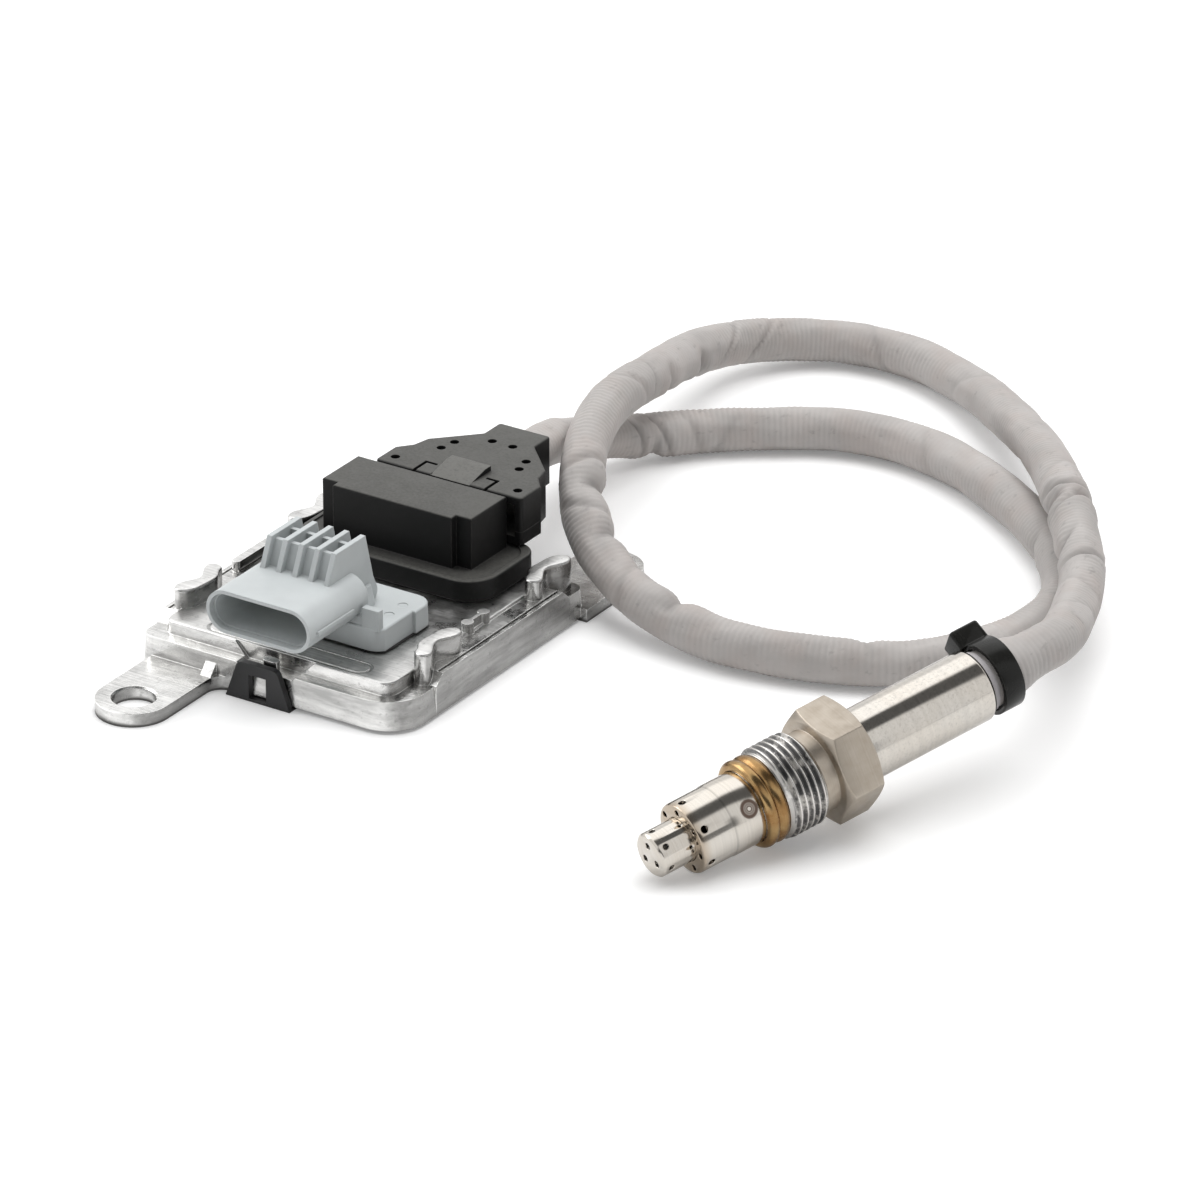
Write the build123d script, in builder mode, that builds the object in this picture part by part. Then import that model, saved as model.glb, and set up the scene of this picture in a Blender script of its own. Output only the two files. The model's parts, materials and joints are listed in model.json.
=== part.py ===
from build123d import *
from math import cos, pi, radians, sin, tan
import os

os.makedirs("parts", exist_ok=True)

# Everything is in millimetres with +Z up. The origin lies midway between the two ear holes of the
# control unit, on the ears' underside. +Y points from the vehicle connector to the conduit's exit.

# Cast housing
housing_width = 66.0
housing_depth = 69.7
housing_x = -2.4
housing_edge_z = 0.8
ledge_z = 7.2
plateau_z = 10.0
plateau_inset = 3.5
plateau_side_inset = 5.0
corner_tight = 3.0
corner_wide = 9.0
roof_thickness = 2.0
cavity_inset = 3.6
shelf_z = 9.5
shelf_front_gap = 12.85
shelf_back_gap = 6.85
shelf_ramp = 2.6
shelf_groove = 0.6
wall_draft = 4.0
rim_notch_x = -3.4
rim_notch_width = 13.4
rim_notch_z = 6.6
rim_notch_reach = 0.8
rim_lug_x = -2.6
rim_lug_width = 3.7
rim_lug_depth = 2.0
rim_lug_setback = 1.5
rim_lug_top_z = 9.4
panel_width = 40.0
panel_depth = 5.0
panel_x = -2.0
panel_y = -27.6
panel_line = 0.5
post_z = 14.2
rail_z = 12.0
boss_z = 12.0
cast_round = 0.6

# Ears with their fixing holes
ear_x = 23.9
ear_y = 52.25
ear_radius = 8.15
ear_thickness = 3.0
ear_hole_radius = 4.5
ear_chamfer = 0.4
ear_root_radius = 3.5
ear_root_lap = 6.0
ear_gusset = 2.6
ear_gusset_z = 5.4

# Bottom cover, its seal and its snap hooks
cover_inset = 1.7
cover_thickness = 2.0
cover_gap = 0.15
seal_thickness = 0.8
seal_width = 1.5
hook_width = 16.0
hook_top_width = 9.8
hook_thickness = 1.4
hook_x = -4.2
hook_barb = 1.6
hook_gap = 0.1
hook_top_z = 8.6
hook_shoulder = 1.6
lug_gap = 0.4
window_width = 4.3
window_height = 5.5
window_low_z = 0.6

# Circuit board and what it carries
board_side_gap = 3.2
board_end_gap = 2.7
board_thickness = 1.6
standoff_radius = 2.6
standoff_inset = 3.4
screw_radius = 1.25
screw_head_radius = 2.2
screw_head_height = 0.9
controller_size = 10.0
controller_height = 1.2
driver_width = 4.0
driver_length = 5.0
driver_height = 1.5
capacitor_size = 3.2
capacitor_height = 2.4
coil_size = 6.0
coil_height = 2.6
chip_edge = 8.5

# Vehicle connector, the grey socket at the front
socket_x = -2.4
socket_width = 25.9
socket_height = 9.7
socket_mouth_y = -38.15
socket_back_y = -17.0
socket_z = 20.0
socket_wall = 1.2
socket_depth = 15.0
socket_lip = 0.4
socket_lip_depth = 1.6
base_width = 38.3
base_front_y = -20.85
base_back_y = -1.55
base_z = 15.4
base_corner = 4.0
base_step = 0.7
base_step_y = -9.0
ejector_reach = 15.15
ejector_pitch = 5.1
ejector_radius = 1.1
ejector_depth = 0.12
gasket_thickness = 0.4
fin_count = 5
fin_pitch = 4.0
fin_thickness = 1.2
fin_top_z = 31.1
fin_length = 13.6
fin_corner = 2.4
fin_web_drop = 0.9
web_thickness = 1.0
tab_width = 4.2
tab_height = 4.7
vehicle_pin_count = 5
vehicle_pin_pitch = 4.2
vehicle_pin_reach = 5.0
pin_width = 1.0
pin_thickness = 0.6

# Sensor header, the black socket at the rear
header_x = -4.2
header_width = 37.6
header_front_y = 13.25
header_back_y = 28.25
header_top_z = 26.4
header_wall = 1.8
header_flange_x = -3.4
header_flange_width = 48.6
header_flange_front_y = 8.3
header_flange_back_y = 31.3
header_flange_z = 15.0
header_corner = 7.0
header_corner_rear = 4.5
header_lip = 1.2
header_notch = 3.8
header_notch_wall = 1.0
header_notch_depth = 1.8
header_pin_columns = 4
header_pin_pitch = 6.0
header_row_pitch = 2.8

# Plug of the conduit
plug_x = -0.5
plug_front_y = 28.9
plug_back_y = 58.4
plug_bottom_z = 15.6
plug_seam_z = 18.5
plug_wall = 1.8
plug_front_half = 18.5
plug_shoulder_half = 15.9
plug_waist_half = 15.0
plug_rear_half = 6.5
plug_front_length = 7.4
plug_shoulder_length = 3.1
plug_waist_length = 4.1
plug_taper_length = 8.7
plug_gap = 0.3
plug_hole_radius = 1.0
latch_width = 9.8
latch_length = 8.3
latch_flat = 2.2
latch_rise = 1.1
latch_recess = 0.9
slot_reach = 9.0
slot_width = 0.8
slot_length = 4.6
slot_leg = 2.4
lead_radius = 0.6

# Conduit between plug and probe
conduit_diameter = 10.5
conduit_exit_z = 20.5
conduit_floor_z = 5.3
cuff_radius = 6.7
cuff_length = 8.0
cuff_taper = 2.5
cuff_step = 0.3

# Cable tie round the conduit's end
tie_start = 0.6
tie_width = 4.8
tie_thickness = 1.0
tie_gap = 0.05
tie_head_width = 7.0
tie_head_length = 6.4
tie_head_height = 4.4
tie_head_angle = 150.0

# Probe: stations are measured along its axis from the tip of the nose
probe_x = 105.9
probe_y = -58.75
probe_yaw = 67.5
probe_tilt = 10.8
nose_radius = 4.75
nose_wall = 0.6
nose_hole_radius = 0.75
nose_hole_circle = 2.3
nose_hole_s = 1.9
shoulder_s = 7.8
outer_tube_radius = 7.6
outer_tube_wall = 0.8
outer_tube_step_s = 16.0
outer_tube_step = 0.15
side_hole_s = 9.7
side_hole_radius = 0.8
side_hole_count = 6
face_hole_count = 7
face_hole_radius = 0.7
seat_s = 23.0
thread_s = 28.0
thread_radius = 10.0
thread_length = 9.5
relief_radius = 8.7
relief_length = 3.0
hex_across_flats = 22.0
hex_length = 9.0
seat_ring_radius = 9.45
seat_ring_bead = 1.3
body_radius = 7.7
screw_clearance = 0.06
body_bore = 5.2
spigot_radius = 6.7
sleeve_radius = 7.7
sleeve_wall = 0.5
sleeve_end_s = 81.0
sleeve_overlap = 5.0
grommet_length = 8.0
grommet_proud = 1.5
element_width = 4.4
element_thickness = 1.3
bush_length = 5.0
powder_length = 6.0
holder_length = 11.0
wire_count = 8
wire_circle = 3.6
wire_radius = 0.65


def save(part, label):
    """Name a finished piece and write its file."""
    part.label = label
    export_step(part, "parts/" + label + ".step")


# Derived sizes of the board and heights of the stack inside the housing
board_width = housing_width - 2 * cavity_inset - 2 * board_side_gap
board_depth = housing_depth - 2 * cavity_inset - 2 * board_end_gap
standoff_x = board_width / 2 - standoff_inset
standoff_y = board_depth / 2 - standoff_inset
roof_z = plateau_z - roof_thickness
cover_top_z = cover_thickness
seal_top_z = cover_top_z + seal_thickness
board_bottom_z = cover_top_z + screw_head_height + 0.5
board_top_z = board_bottom_z + board_thickness
front_y = -housing_depth / 2
right_x = housing_x + housing_width / 2
left_x = housing_x - housing_width / 2
shelf_length = housing_depth - shelf_front_gap - shelf_back_gap
shelf_shift = (shelf_front_gap - shelf_back_gap) / 2
connector_seat_z = plateau_z + gasket_thickness
vehicle_pin_y = socket_back_y - 0.9
pin_slot_depth = 3.0


def housing_plan(inset, z):
    """Draw the housing's outline moved inwards: two opposite corners are tight and two are wide."""
    with BuildSketch(Plane.XY.offset(z)) as plan:
        with Locations((housing_x, 0)):
            Rectangle(housing_width - 2 * inset, housing_depth - 2 * inset)
        tight = plan.vertices().sort_by(Axis((0, 0, 0), (1, 1, 0)))
        fillet([tight[0], tight[-1]], max(corner_tight - inset, 0.8))
        wide = plan.vertices().sort_by(Axis((0, 0, 0), (1, -1, 0)))
        fillet([wide[0], wide[-1]], max(corner_wide - inset, 0.8))
    return plan.sketch


# Plan outline of the cast post at the right front. The left one is the same post turned half round
# about the pair's middle, and the rear pair repeats the front one.
post_pitch = 41.2
pair_x = -2.7
pair_y = -16.65
right_post = [
    (25.0, -21.4), (27.0, -23.0), (28.6, -22.2), (28.2, -19.6), (26.6, -15.8),
    (28.6, -10.4), (27.2, -8.2), (25.2, -8.9), (23.5, -14.0), (23.7, -18.6),
]
rail_front_y = -4.0
rail_back_y = 10.0
rail_thickness = 2.0
rail_offset = 1.8
boss_front_y = -2.5
boss_back_y = 6.0
boss_thickness = 1.6
boss_lobe = 1.3

with BuildPart() as housing:
    extrude(housing_plan(0, housing_edge_z), amount=ledge_z - housing_edge_z, taper=wall_draft)
    # Raised plateau with its step all round
    plateau_width = housing_width - plateau_inset - plateau_side_inset
    plateau_x = left_x + plateau_inset + plateau_width / 2
    with BuildSketch(Plane.XY.offset(ledge_z)) as plateau:
        with Locations((plateau_x, 0)):
            RectangleRounded(plateau_width, housing_depth - 2 * plateau_inset, 3.0)
    extrude(amount=plateau_z - ledge_z, taper=8)
    # Long shelves beside the plateau with ramped ends, one a half turn from the other
    for turn, start in ((1, right_x), (-1, left_x)):
        shelf_front_y = turn * shelf_shift - shelf_length / 2
        shelf_back_y = shelf_front_y + shelf_length
        with BuildSketch(Plane.YZ.offset(start)):
            with BuildLine():
                Polyline((shelf_front_y, housing_edge_z), (shelf_back_y, housing_edge_z),
                         (shelf_back_y, ledge_z), (shelf_back_y - shelf_ramp, shelf_z),
                         (shelf_front_y + shelf_ramp, shelf_z), (shelf_front_y, ledge_z), close=True)
            make_face()
        extrude(amount=-turn * (plateau_side_inset + 1.0))
    # Trim whatever passes the outer wall
    extrude(housing_plan(0, housing_edge_z), amount=plateau_z - housing_edge_z, mode=Mode.INTERSECT)
    top_edges = housing.edges().group_by(Axis.Z)[-1]
    fillet(top_edges, cast_round)
    # Groove along each shelf, just inside its outer edge
    for turn, start in ((1, right_x), (-1, left_x)):
        with BuildSketch(Plane.XY.offset(shelf_z)):
            with Locations((start - turn * 2 * shelf_groove, turn * shelf_shift)):
                Rectangle(shelf_groove, shelf_length - 2 * shelf_ramp)
        extrude(amount=-shelf_groove, mode=Mode.SUBTRACT)
    # Notch in each end's rim that the snap hook reaches through, with a lug behind it
    for turn in (1, -1):
        rim_x = housing_x + turn * (rim_notch_x - housing_x)
        notch_plane = Plane(origin=(rim_x, turn * front_y, 0), x_dir=(turn, 0, 0), z_dir=(0, -turn, 0))
        half = rim_notch_width / 2
        rise = plateau_z - rim_notch_z
        with BuildSketch(notch_plane):
            with BuildLine():
                Polyline((-half, rim_notch_z), (half, rim_notch_z), (half + rise, plateau_z),
                         (-half - rise, plateau_z), close=True)
            make_face()
        extrude(amount=-(plateau_inset + rim_notch_reach), mode=Mode.SUBTRACT)
        with BuildSketch(Plane.XY.offset(rim_notch_z - 0.4)):
            with Locations((housing_x + turn * (rim_lug_x - housing_x), turn * (front_y + rim_lug_setback))):
                SlotOverall(rim_lug_width, rim_lug_depth)
        extrude(amount=rim_lug_top_z - rim_notch_z + 0.4)
    # Outlined long panel on the top, near the front
    with BuildSketch(Plane.XY.offset(plateau_z)):
        with Locations((panel_x, panel_y)):
            SlotOverall(panel_width, panel_depth)
            SlotOverall(panel_width - 2 * panel_line, panel_depth - 2 * panel_line, mode=Mode.SUBTRACT)
    extrude(amount=-panel_line / 3, mode=Mode.SUBTRACT)
    # Curved posts: the right pair, and the left pair a half turn away
    left_post = [(2 * pair_x - x, 2 * pair_y - y) for x, y in right_post]
    for shift in (0, post_pitch):
        for post in (right_post, left_post):
            with BuildSketch(Plane.XY.offset(ledge_z - 0.4)):
                with BuildLine():
                    Spline(*[(x, y + shift) for x, y in post], periodic=True)
                make_face()
            extrude(amount=post_z - ledge_z + 0.4)
    post_tops = housing.faces().filter_by_position(Axis.Z, post_z - 0.01, post_z + 0.01)
    fillet(post_tops.edges(), cast_round)
    # Low rail on the left and small boss on the right
    with BuildSketch(Plane.XY.offset(ledge_z - 0.4)):
        with Locations((left_x + rail_offset + rail_thickness / 2, (rail_front_y + rail_back_y) / 2)):
            RectangleRounded(rail_thickness, rail_back_y - rail_front_y, 0.8)
    extrude(amount=rail_z - ledge_z + 0.4)
    with BuildSketch(Plane.XY.offset(ledge_z - 0.4)):
        with Locations((right_x - plateau_side_inset - 1.2, (boss_front_y + boss_back_y) / 2)):
            Rectangle(boss_thickness / 2, boss_back_y - boss_front_y - 2 * boss_lobe)
            with GridLocations(0, boss_back_y - boss_front_y - 2 * boss_lobe, 1, 2):
                Circle(boss_lobe)
    extrude(amount=boss_z - ledge_z + 0.4)
    # Ears, each running back into the wall
    for turn in (-1, 1):
        wall_y = turn * (housing_depth / 2 - cavity_inset + 1.0)
        skirt_y = turn * (housing_depth / 2 - 0.3)
        inner_x = turn * (ear_x - ear_radius)
        with BuildSketch() as ear:
            with Locations((turn * ear_x, turn * ear_y)):
                Circle(ear_radius)
            with Locations((turn * ear_x, (turn * ear_y + wall_y) / 2)):
                Rectangle(2 * ear_radius, abs(turn * ear_y - wall_y))
            with Locations((turn * (ear_x - ear_root_lap), (skirt_y + wall_y) / 2)):
                Rectangle(2 * ear_radius + 2 * ear_root_lap, abs(skirt_y - wall_y))
            roots = ear.vertices().sort_by_distance((inner_x, skirt_y, 0))
            fillet(roots[0], ear_root_radius)
        extrude(amount=ear_thickness)
        # Gusset at the ear's inner root, sloping down from the wall
        with BuildSketch(Plane.YZ.offset(inner_x)):
            with BuildLine():
                Polyline((wall_y, ear_thickness - 0.5), (skirt_y + turn * ear_gusset, ear_thickness - 0.5),
                         (skirt_y, ear_gusset_z), (wall_y, ear_gusset_z), close=True)
            make_face()
        extrude(amount=turn * ear_gusset)
    # Two cavities: one under the ledge and a taller one under the plateau
    extrude(housing_plan(cover_inset - cover_gap, 0), amount=seal_top_z, mode=Mode.SUBTRACT)
    extrude(housing_plan(cavity_inset, seal_top_z), amount=ledge_z - roof_thickness - seal_top_z,
            mode=Mode.SUBTRACT)
    with BuildSketch(Plane.XY.offset(ledge_z - roof_thickness)):
        with Locations((plateau_x, 0)):
            RectangleRounded(plateau_width - 2 * roof_thickness,
                             housing_depth - 2 * plateau_inset - 2 * roof_thickness, 2.0)
    extrude(amount=roof_z - ledge_z + roof_thickness, mode=Mode.SUBTRACT)
    # Standoffs for the board, with their screw holes
    for x in (plateau_x - standoff_x, plateau_x + standoff_x):
        for y in (-standoff_y, standoff_y):
            with BuildSketch(Plane.XY.offset(board_top_z)):
                with Locations((x, y)):
                    Circle(standoff_radius)
                    Circle(screw_radius, mode=Mode.SUBTRACT)
            extrude(amount=roof_z - board_top_z + 0.4)
    # Slots that the contacts pass through
    with BuildSketch(Plane.XY.offset(roof_z - 1.0)):
        with Locations((socket_x, vehicle_pin_y)):
            RectangleRounded(vehicle_pin_pitch * vehicle_pin_count, pin_slot_depth, 1.0)
        with Locations((header_x, header_front_y + header_wall + 2.9)):
            RectangleRounded(header_pin_pitch * header_pin_columns + 2.0, 8.0, 1.0)
    extrude(amount=plateau_z - roof_z + 2.0, mode=Mode.SUBTRACT)
    # Ear holes with a small chamfer at the top
    for turn in (-1, 1):
        with BuildSketch():
            with Locations((turn * ear_x, turn * ear_y)):
                Circle(ear_hole_radius)
        extrude(amount=ear_thickness, mode=Mode.SUBTRACT)
    hole_edges = housing.edges().filter_by(GeomType.CIRCLE).filter_by_position(
        Axis.Z, ear_thickness - 0.01, ear_thickness + 0.01)
    chamfer([e for e in hole_edges if abs(e.radius - ear_hole_radius) < 0.01], ear_chamfer)
save(housing.part, "housing")

# Bottom cover with its two snap hooks
hook_wall = front_y - hook_gap
with BuildPart() as bottom_cover:
    extrude(housing_plan(cover_inset, 0), amount=cover_thickness)
    for turn in (1, -1):
        hook_plane = Plane(origin=(housing_x, turn * hook_wall, 0),
                           x_dir=(turn, 0, 0), z_dir=(0, -turn, 0))
        hook_at = hook_x - housing_x
        # Foot under the housing's edge, then the hook up the wall and its barb over the ledge
        with BuildSketch(hook_plane.offset(hook_thickness)):
            with Locations((hook_at, housing_edge_z / 4)):
                Rectangle(hook_width, housing_edge_z / 2)
        extrude(amount=-(hook_thickness + hook_gap + cover_inset + 1.0))
        with BuildSketch(hook_plane) as hook:
            with BuildLine():
                Polyline((hook_at - hook_width / 2, 0), (hook_at + hook_width / 2, 0),
                         (hook_at + hook_top_width / 2, hook_top_z),
                         (hook_at - hook_top_width / 2, hook_top_z), close=True)
            make_face()
            fillet(hook.vertices().group_by(Axis.Y)[-1], hook_shoulder)
            with Locations((hook_at, window_low_z + window_height / 2)):
                Rectangle(window_width, window_height, mode=Mode.SUBTRACT)
        extrude(amount=hook_thickness)
        barb_start = hook_at - hook_top_width / 2 + hook_shoulder / 2
        barb_end = rim_lug_x - housing_x - rim_lug_width / 2 - lug_gap
        with BuildSketch(hook_plane.offset(hook_thickness)):
            with Locations(((barb_start + barb_end) / 2, (rim_notch_z + hook_top_z - hook_shoulder / 2) / 2)):
                Rectangle(barb_end - barb_start, hook_top_z - hook_shoulder / 2 - rim_notch_z - 2 * hook_gap)
        extrude(amount=-(hook_thickness + hook_gap + hook_barb))
save(bottom_cover.part, "bottom_cover")

with BuildPart() as housing_seal:
    extrude(housing_plan(cover_inset + 0.1, cover_top_z), amount=seal_thickness)
    extrude(housing_plan(cover_inset + 0.1 + seal_width, cover_top_z), amount=seal_thickness,
            mode=Mode.SUBTRACT)
save(housing_seal.part, "housing_seal")

# Circuit board hung on the standoffs
with BuildPart() as circuit_board:
    with BuildSketch(Plane.XY.offset(board_bottom_z)):
        with Locations((plateau_x, 0)):
            RectangleRounded(board_width, board_depth, 2.0)
            with GridLocations(2 * standoff_x, 2 * standoff_y, 2, 2):
                Circle(screw_radius + 0.2, mode=Mode.SUBTRACT)
    extrude(amount=board_thickness)
save(circuit_board.part, "circuit_board")

with BuildPart() as board_screws:
    with BuildSketch(Plane.XY.offset(board_bottom_z)):
        with Locations((plateau_x, 0)):
            with GridLocations(2 * standoff_x, 2 * standoff_y, 2, 2):
                Circle(screw_radius - 0.05)
    extrude(amount=roof_z - board_bottom_z)
    with BuildSketch(Plane.XY.offset(board_bottom_z)):
        with Locations((plateau_x, 0)):
            with GridLocations(2 * standoff_x, 2 * standoff_y, 2, 2):
                Circle(screw_head_radius)
    extrude(amount=-screw_head_height)
save(board_screws.part, "board_screws")


def board_chip(x, y, width, depth, height, label):
    """A chip or block standing on the board, with a small chamfer round its top."""
    with BuildPart() as chip:
        with BuildSketch(Plane.XY.offset(board_top_z)):
            with Locations((x, y)):
                Rectangle(width, depth)
        extrude(amount=height)
        chamfer(chip.faces().sort_by(Axis.Z)[-1].edges(), 0.2)
    save(chip.part, label)


left_chip_x = plateau_x - board_width / 2 + chip_edge
right_chip_x = plateau_x + board_width / 2 - chip_edge
board_chip(plateau_x + 3.0, 1.0, controller_size, controller_size, controller_height, "microcontroller")
board_chip(left_chip_x, 3.0, driver_width, driver_length, driver_height, "heater_driver")
board_chip(right_chip_x, 3.0, coil_size, coil_size, coil_height, "supply_coil")

with BuildPart() as capacitors:
    with BuildSketch(Plane.XY.offset(board_top_z)):
        with Locations((left_chip_x, -9.0)):
            with GridLocations(capacitor_size + 1.4, 0, 3, 1):
                RectangleRounded(capacitor_size, capacitor_size, 0.4)
    extrude(amount=capacitor_height)
save(capacitors.part, "capacitors")

# Vehicle connector: a moulded socket on a screwed-down base
fin_foot_y = socket_mouth_y + 13.0
fin_end_y = fin_foot_y + fin_length
base_mid_y = (base_front_y + base_back_y) / 2
base_depth = base_back_y - base_front_y
socket_bottom_z = socket_z - socket_height / 2
socket_top_z = socket_z + socket_height / 2
cavity_end_y = socket_mouth_y + socket_depth
with BuildPart() as vehicle_connector:
    with BuildSketch(Plane.XY.offset(connector_seat_z)):
        with Locations((socket_x, base_mid_y)):
            RectangleRounded(base_width, base_depth, base_corner)
        # The front part of the base is a little narrower than its rear
        for side in (-1, 1):
            with Locations((socket_x + side * base_width / 2, (base_front_y + base_step_y) / 2 - 1.0)):
                Rectangle(2 * base_step, base_step_y - base_front_y + 2.0, mode=Mode.SUBTRACT)
    extrude(amount=base_z - connector_seat_z, taper=1.5)
    fillet(vehicle_connector.faces().sort_by(Axis.Z)[-1].edges(), 0.5)
    # Round marks of the mould's ejector pins
    with BuildSketch(Plane.XY.offset(base_z)):
        with Locations((socket_x, base_mid_y + 0.85)):
            with GridLocations(2 * ejector_reach, ejector_pitch, 2, 2):
                Circle(ejector_radius)
    extrude(amount=-ejector_depth, mode=Mode.SUBTRACT)
    # Flattened socket, rounded down at its rear end
    with BuildSketch(Plane.XZ.offset(-socket_mouth_y)):
        with Locations((socket_x, socket_z)):
            SlotOverall(socket_width, socket_height)
    extrude(amount=-(socket_back_y - socket_mouth_y))
    with BuildSketch(Plane.XY.offset(base_z - 0.6)):
        with Locations((socket_x, (socket_back_y + base_back_y) / 2 - 4.5)):
            RectangleRounded(socket_width - 5.0, 9.0, 2.0)
    extrude(amount=5.0, taper=12)
    # Thin fins standing across the socket
    for index in range(fin_count):
        fin_x = socket_x + (index - (fin_count - 1) / 2) * fin_pitch
        with BuildSketch(Plane.YZ.offset(fin_x - fin_thickness / 2)):
            with BuildLine():
                Polyline((fin_foot_y, socket_z), (fin_foot_y + 0.1, socket_top_z),
                         (fin_foot_y + 3.0, fin_top_z), (fin_end_y, fin_top_z),
                         (fin_end_y + 2.6, socket_z + 1.0), (fin_end_y + 5.4, base_z - 0.5),
                         (fin_foot_y + 8.0, base_z - 0.5), close=True)
            face = make_face()
            fillet(face.vertices().sort_by_distance((fin_x, fin_end_y, fin_top_z))[0], fin_corner)
        extrude(amount=fin_thickness)
    # Cross webs between the fins
    web_top = fin_top_z - fin_web_drop
    for lean, web_y in ((2.7, fin_foot_y + 1.4), (0.0, fin_foot_y + 9.6)):
        with BuildSketch(Plane.YZ.offset(socket_x - fin_pitch * (fin_count - 1) / 2)):
            with BuildLine():
                Polyline((web_y, socket_top_z - 1.5), (web_y + web_thickness, socket_top_z - 1.5),
                         (web_y + web_thickness + lean, web_top), (web_y + lean, web_top), close=True)
            make_face()
        extrude(amount=fin_pitch * (fin_count - 1))
    # Upright tab beside the socket, and the low wall that ties it to the socket
    tab_x = socket_x + socket_width / 2 + 2.7
    with BuildSketch(Plane.XY.offset(base_z - 0.5)):
        with Locations((tab_x, base_front_y + 1.2)):
            Rectangle(tab_width, 1.6)
    extrude(amount=tab_height)
    with BuildSketch(Plane.XY.offset(base_z - 0.5)):
        with Locations((tab_x - tab_width, base_front_y + 1.2)):
            Rectangle(tab_width, 1.2)
    extrude(amount=tab_height / 2)
    # Seam rib along each side of the socket
    with BuildSketch(Plane.XZ.offset(-(socket_mouth_y + 2.5))):
        with Locations((socket_x, socket_z - 0.3)):
            Rectangle(socket_width + 0.9, 0.8)
    extrude(amount=-(base_front_y - socket_mouth_y - 4.5))
    # Socket cavity with a lip at the mouth
    with BuildSketch(Plane.XZ.offset(-socket_mouth_y)):
        with Locations((socket_x, socket_z)):
            SlotOverall(socket_width - 2 * socket_wall, socket_height - 2 * socket_wall)
    extrude(amount=-socket_depth, mode=Mode.SUBTRACT)
    with BuildSketch(Plane.XZ.offset(-socket_mouth_y)):
        with Locations((socket_x, socket_z)):
            SlotOverall(socket_width - 2 * socket_wall + 2 * socket_lip,
                        socket_height - 2 * socket_wall + 2 * socket_lip)
    extrude(amount=-socket_lip_depth, mode=Mode.SUBTRACT)
    # Slots for the contacts, from the cavity back and then down through the base
    for index in range(vehicle_pin_count):
        pin_x = socket_x + (index - (vehicle_pin_count - 1) / 2) * vehicle_pin_pitch
        with BuildSketch(Plane.XZ.offset(-cavity_end_y)):
            with Locations((pin_x, socket_z)):
                Rectangle(pin_width, pin_thickness)
        extrude(amount=-(vehicle_pin_y + pin_thickness / 2 - cavity_end_y), mode=Mode.SUBTRACT)
        with BuildSketch(Plane.XY.offset(connector_seat_z)):
            with Locations((pin_x, vehicle_pin_y)):
                Rectangle(pin_width, pin_thickness)
        extrude(amount=socket_z + pin_thickness / 2 - connector_seat_z, mode=Mode.SUBTRACT)
save(vehicle_connector.part, "vehicle_connector")

with BuildPart() as vehicle_pins:
    for index in range(vehicle_pin_count):
        pin_x = socket_x + (index - (vehicle_pin_count - 1) / 2) * vehicle_pin_pitch
        with BuildSketch(Plane.XZ.offset(-(cavity_end_y - vehicle_pin_reach))):
            with Locations((pin_x, socket_z)):
                Rectangle(pin_width, pin_thickness)
        extrude(amount=-(vehicle_pin_y + pin_thickness / 2 - cavity_end_y + vehicle_pin_reach))
        with BuildSketch(Plane.XY.offset(board_top_z)):
            with Locations((pin_x, vehicle_pin_y)):
                Rectangle(pin_width, pin_thickness)
        extrude(amount=socket_z + pin_thickness / 2 - board_top_z)
save(vehicle_pins.part, "vehicle_pins")


def flange_gasket(x, y, width, depth, corner, window_width, window_depth, window_y, label):
    """Flat gasket under a connector's flange, open where the contacts pass."""
    with BuildPart() as gasket:
        with BuildSketch(Plane.XY.offset(plateau_z)):
            with Locations((x, y)):
                RectangleRounded(width, depth, corner)
            with Locations((x, window_y)):
                RectangleRounded(window_width, window_depth, 1.0, mode=Mode.SUBTRACT)
        extrude(amount=gasket_thickness)
    save(gasket.part, label)


flange_gasket(socket_x, base_mid_y, base_width - 0.8, base_depth - 0.8, base_corner - 0.4,
              vehicle_pin_pitch * vehicle_pin_count, pin_slot_depth, vehicle_pin_y,
              "vehicle_connector_gasket")

# Sensor header: a box on a rounded flange, open at the rear for the plug's nose
flange_mid_y = (header_flange_front_y + header_flange_back_y) / 2
flange_depth = header_flange_back_y - header_flange_front_y
header_mid_y = (header_front_y + header_back_y) / 2
header_depth = header_back_y - header_front_y
cavity_bottom_z = header_flange_z + 2.0
cavity_front_y = header_front_y + header_wall
header_pin_y = cavity_front_y + 2.9
cavity_width = header_width - 2 * (header_notch + header_notch_wall)


def header_pin_places():
    """Across and up positions of the header's contacts, in two rows."""
    middle_z = (cavity_bottom_z + header_top_z - header_wall) / 2
    for row in (-0.5, 0.5):
        for column in range(header_pin_columns):
            x = header_x + (column - (header_pin_columns - 1) / 2) * header_pin_pitch
            yield x + row * 1.6, middle_z + row * header_row_pitch, header_pin_y + row * 2.4


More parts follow.
